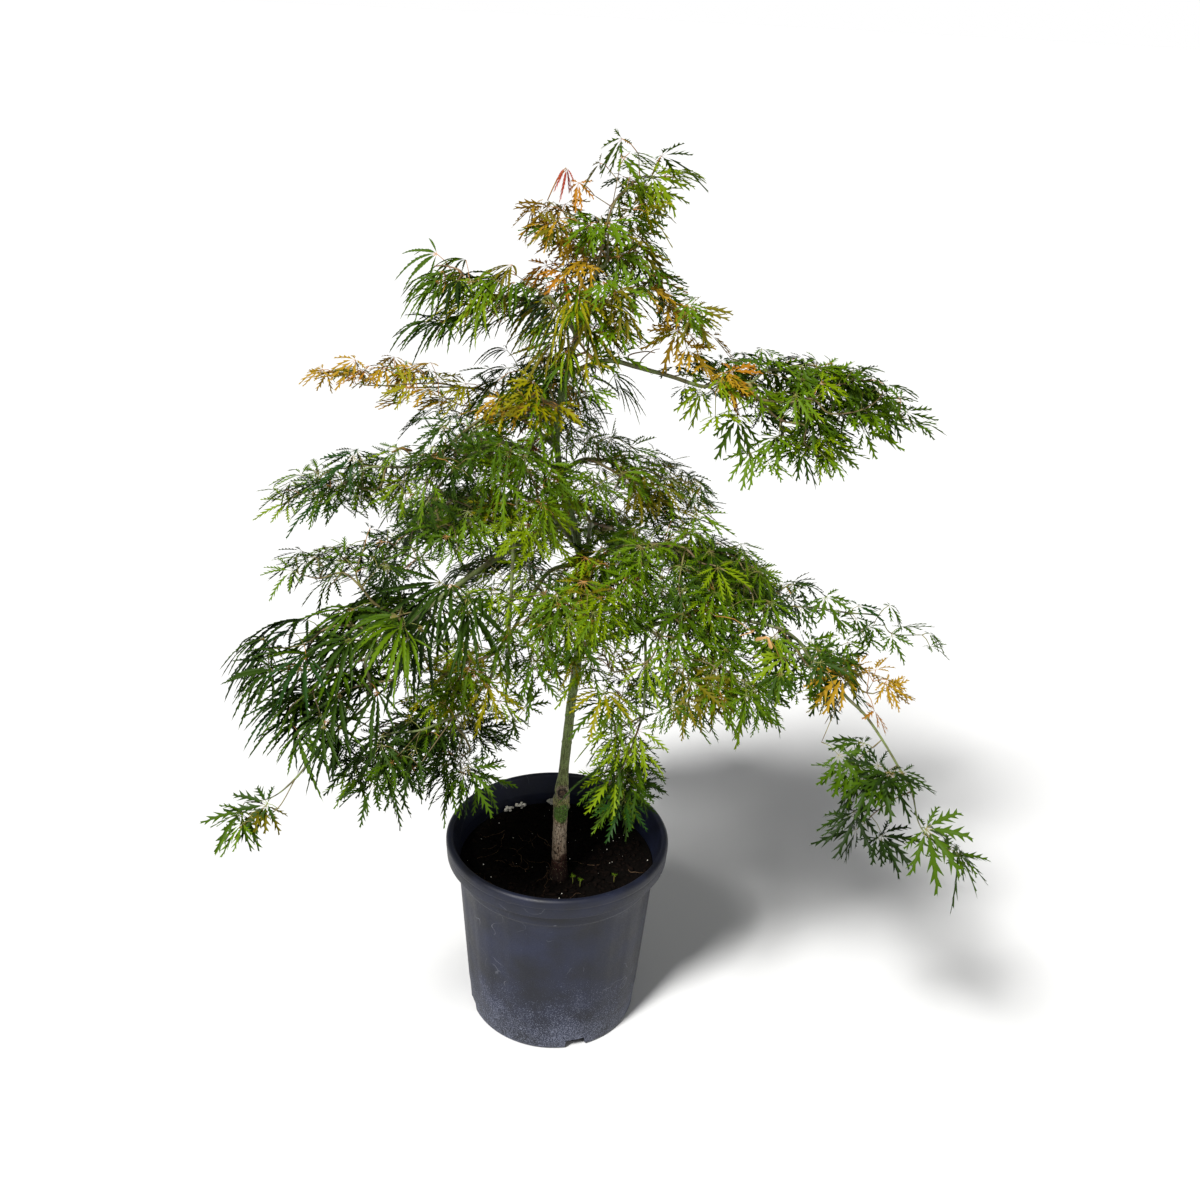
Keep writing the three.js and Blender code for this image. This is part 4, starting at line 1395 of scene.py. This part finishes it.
def crumbledMaterial(name, base, other, scale, rough, depth):
    # Matt and uneven in two colours: patches to the metre, roughness, relief in metres.
    material, tree, shader = newMaterial(name, Roughness=rough, Specular_IOR_Level=0.06)
    coords = addNode(tree, "TexCoord", out="Object")
    tone = addNode(tree, "TexNoise", {"Vector": coords, "Scale": scale, "Detail": 5, "Roughness": 0.65})
    share = addNode(tree, "MapRange", {"Value": tone, "From Min": 0.38, "From Max": 0.64})
    colour = addNode(tree, "Mix", {0: share, 6: linear(base), 7: linear(other)}, data_type="RGBA", out=2)
    bump = addNode(tree, "Bump", {"Height": tone, "Distance": depth, "Strength": 0.8})
    wire(shader, Base_Color=colour, Normal=bump)
    return material


# Damp peat compost, dug: nearly black, with a crumbled grain. Painted shade deepens its own dark brown, for
# the shade it lies in under the crown and the pot's rim.
peat = crumbledMaterial("dampPeatWithPaintedShade", "#040302", "#0b0705", 260, 0.95, 0.0015)
newObject("soil", soilMesh(), peat, ["soil"])
lumps = [crumb(0.28, 0.4) for _ in range(6)]
chips = []
least, most = soilShape["chipSize"]
for _ in range(soilShape["chips"]):
    x, y = groundPlace()
    size = least + (most - least) * dice.random() ** 2.2  # most of them small
    chips.append(scattered(lumps[dice.integers(len(lumps))], (x, y, soilHeight(x, y) + size * 0.2), size,
                           dice.uniform(1, 2.4)))
# Composted bark, chipped: reddish dark brown pieces, deepened nearly to black with painted shade like the
# soil they lie on.
chipSkin = crumbledMaterial("compostedBarkChips", "#060403", "#140c08", 190, 0.9, 0.0008)
newObject("bark_chips", joinedMesh("bark_chips", chips), chipSkin)

beads = [crumb(0.16, 0.85) for _ in range(5)]
grains = []
for _ in range(soilShape["grains"]):
    x, y = groundPlace()
    size = dice.uniform(*soilShape["grainSize"])
    grains.append(scattered(beads[dice.integers(len(beads))], (x, y, soilHeight(x, y) + size * 0.5), size, 1))
for _ in range(soilShape["heapGrains"]):
    turn = math.radians(dice.choice(soilShape["heapTurns"]) + dice.normal(0, 1.6))
    away = 0.1285 - dice.uniform(0, 0.005)
    size = dice.uniform(*soilShape["heapSize"])
    at = (away * math.cos(turn), away * math.sin(turn), soilShape["heapLow"] + dice.uniform(0, 0.008))
    grains.append(scattered(beads[dice.integers(len(beads))], at, size, 1.2))
# Perlite, volcanic glass popped white by heat: chalky, pitted grains.
chalk = crumbledMaterial("expandedPerlite", "#e6e3da", "#b9b4a6", 900, 0.85, 0.0003)
newObject("perlite", joinedMesh("perlite", grains), chalk)

fibres = []
for i in range(soilShape["fibres"]):
    x, y = (dice.uniform(-0.1, -0.01), dice.uniform(-0.09, 0.07)) if i % 3 else groundPlace(0.11)
    way = dice.uniform(0, 2 * math.pi)
    line = []
    for _ in range(int(dice.integers(4, 9 if i % 2 else 17))):
        if math.hypot(x, y) < 0.122:
            line.append((x, y, soilHeight(x, y) + 0.0008 + 0.0012 * abs(math.sin(3 * way))))
        way += dice.normal(0, 0.42)
        x, y = x + soilShape["fibreStep"] * math.cos(way), y + soilShape["fibreStep"] * math.sin(way)
    if len(line) > 3:
        path, _ = smoothPath(line, 0.003)
        fibres.append((path, np.linspace(1, 0.5, len(path)) * dice.uniform(*soilShape["fibreRadius"])))
# Surface roots, grown: thin brown fibres, paler where they have dried.
rootSkin = crumbledMaterial("driedRootFibre", "#3a291d", "#6f5a46", 60, 0.85, 0.0003)
newObject("root_fibres", tubeMesh("root_fibres", fibres, sides=4), rootSkin)
print("pot and soil made")


# Floor, light and camera.
stage = {"floorRadius": 60, "floorColour": "#dcddde", "backdrop": 1.0, "skyLight": 0.2}
made = bmesh.new()
bmesh.ops.create_circle(made, cap_ends=True, radius=stage["floorRadius"], segments=96)
floor = inScene("floor", finished(made, "floor"))
floorPaint, _, _ = newMaterial("mattStudioPaint", Base_Color=linear(stage["floorColour"]), Roughness=0.9)
floor.data.materials.append(floorPaint)

# the studio's white backdrop, which looks brighter than it lights
world = bpy.data.worlds.new("studio")
world.use_nodes = True
sky = world.node_tree.nodes["Background"]
sky.inputs["Color"].default_value = (1, 1, 1, 1)
seen = addNode(world.node_tree, "LightPath", out="Is Camera Ray")
glow = addNode(world.node_tree, "MapRange", {"Value": seen, "To Min": stage["skyLight"],
                                             "To Max": stage["backdrop"]})
wire(sky, Strength=glow)
bpy.context.scene.world = world
bpy.context.scene.view_settings.view_transform = "Standard"

lamps = {
    "key": {"place": (-1.5, -2.1, 3.6), "spread": 12, "strength": 5.3, "colour": (1, 0.985, 0.96)},
    "fill": {"place": (2.6, -2.4, 1.6), "spread": 60, "strength": 0.5, "colour": (1, 1, 1)},
}
target = Vector((0, 0, 0.6))
for name, lamp in lamps.items():
    light = bpy.data.lights.new(name, "SUN")
    light.angle = math.radians(lamp["spread"])
    light.energy = lamp["strength"]
    light.color = lamp["colour"]
    holder = inScene(name, light)
    holder.location = lamp["place"]
    holder.rotation_euler = (target - holder.location).to_track_quat("-Z", "Y").to_euler()

view = {"place": (0.042, -1.458, 1.317), "pitch": 25.3, "roll": 2.8, "lens": 39, "sensor": 36}
camera = bpy.data.cameras.new("camera")
camera.lens, camera.sensor_width = view["lens"], view["sensor"]
camera.clip_start, camera.clip_end = 0.05, 100
eye = inScene("camera", camera)
level = Matrix.Rotation(math.radians(90 - view["pitch"]), 4, "X")
roll = Matrix.Rotation(math.radians(view["roll"]), 4, "Z")
eye.matrix_world = Matrix.Translation(view["place"]) @ level @ roll
bpy.context.scene.camera = eye
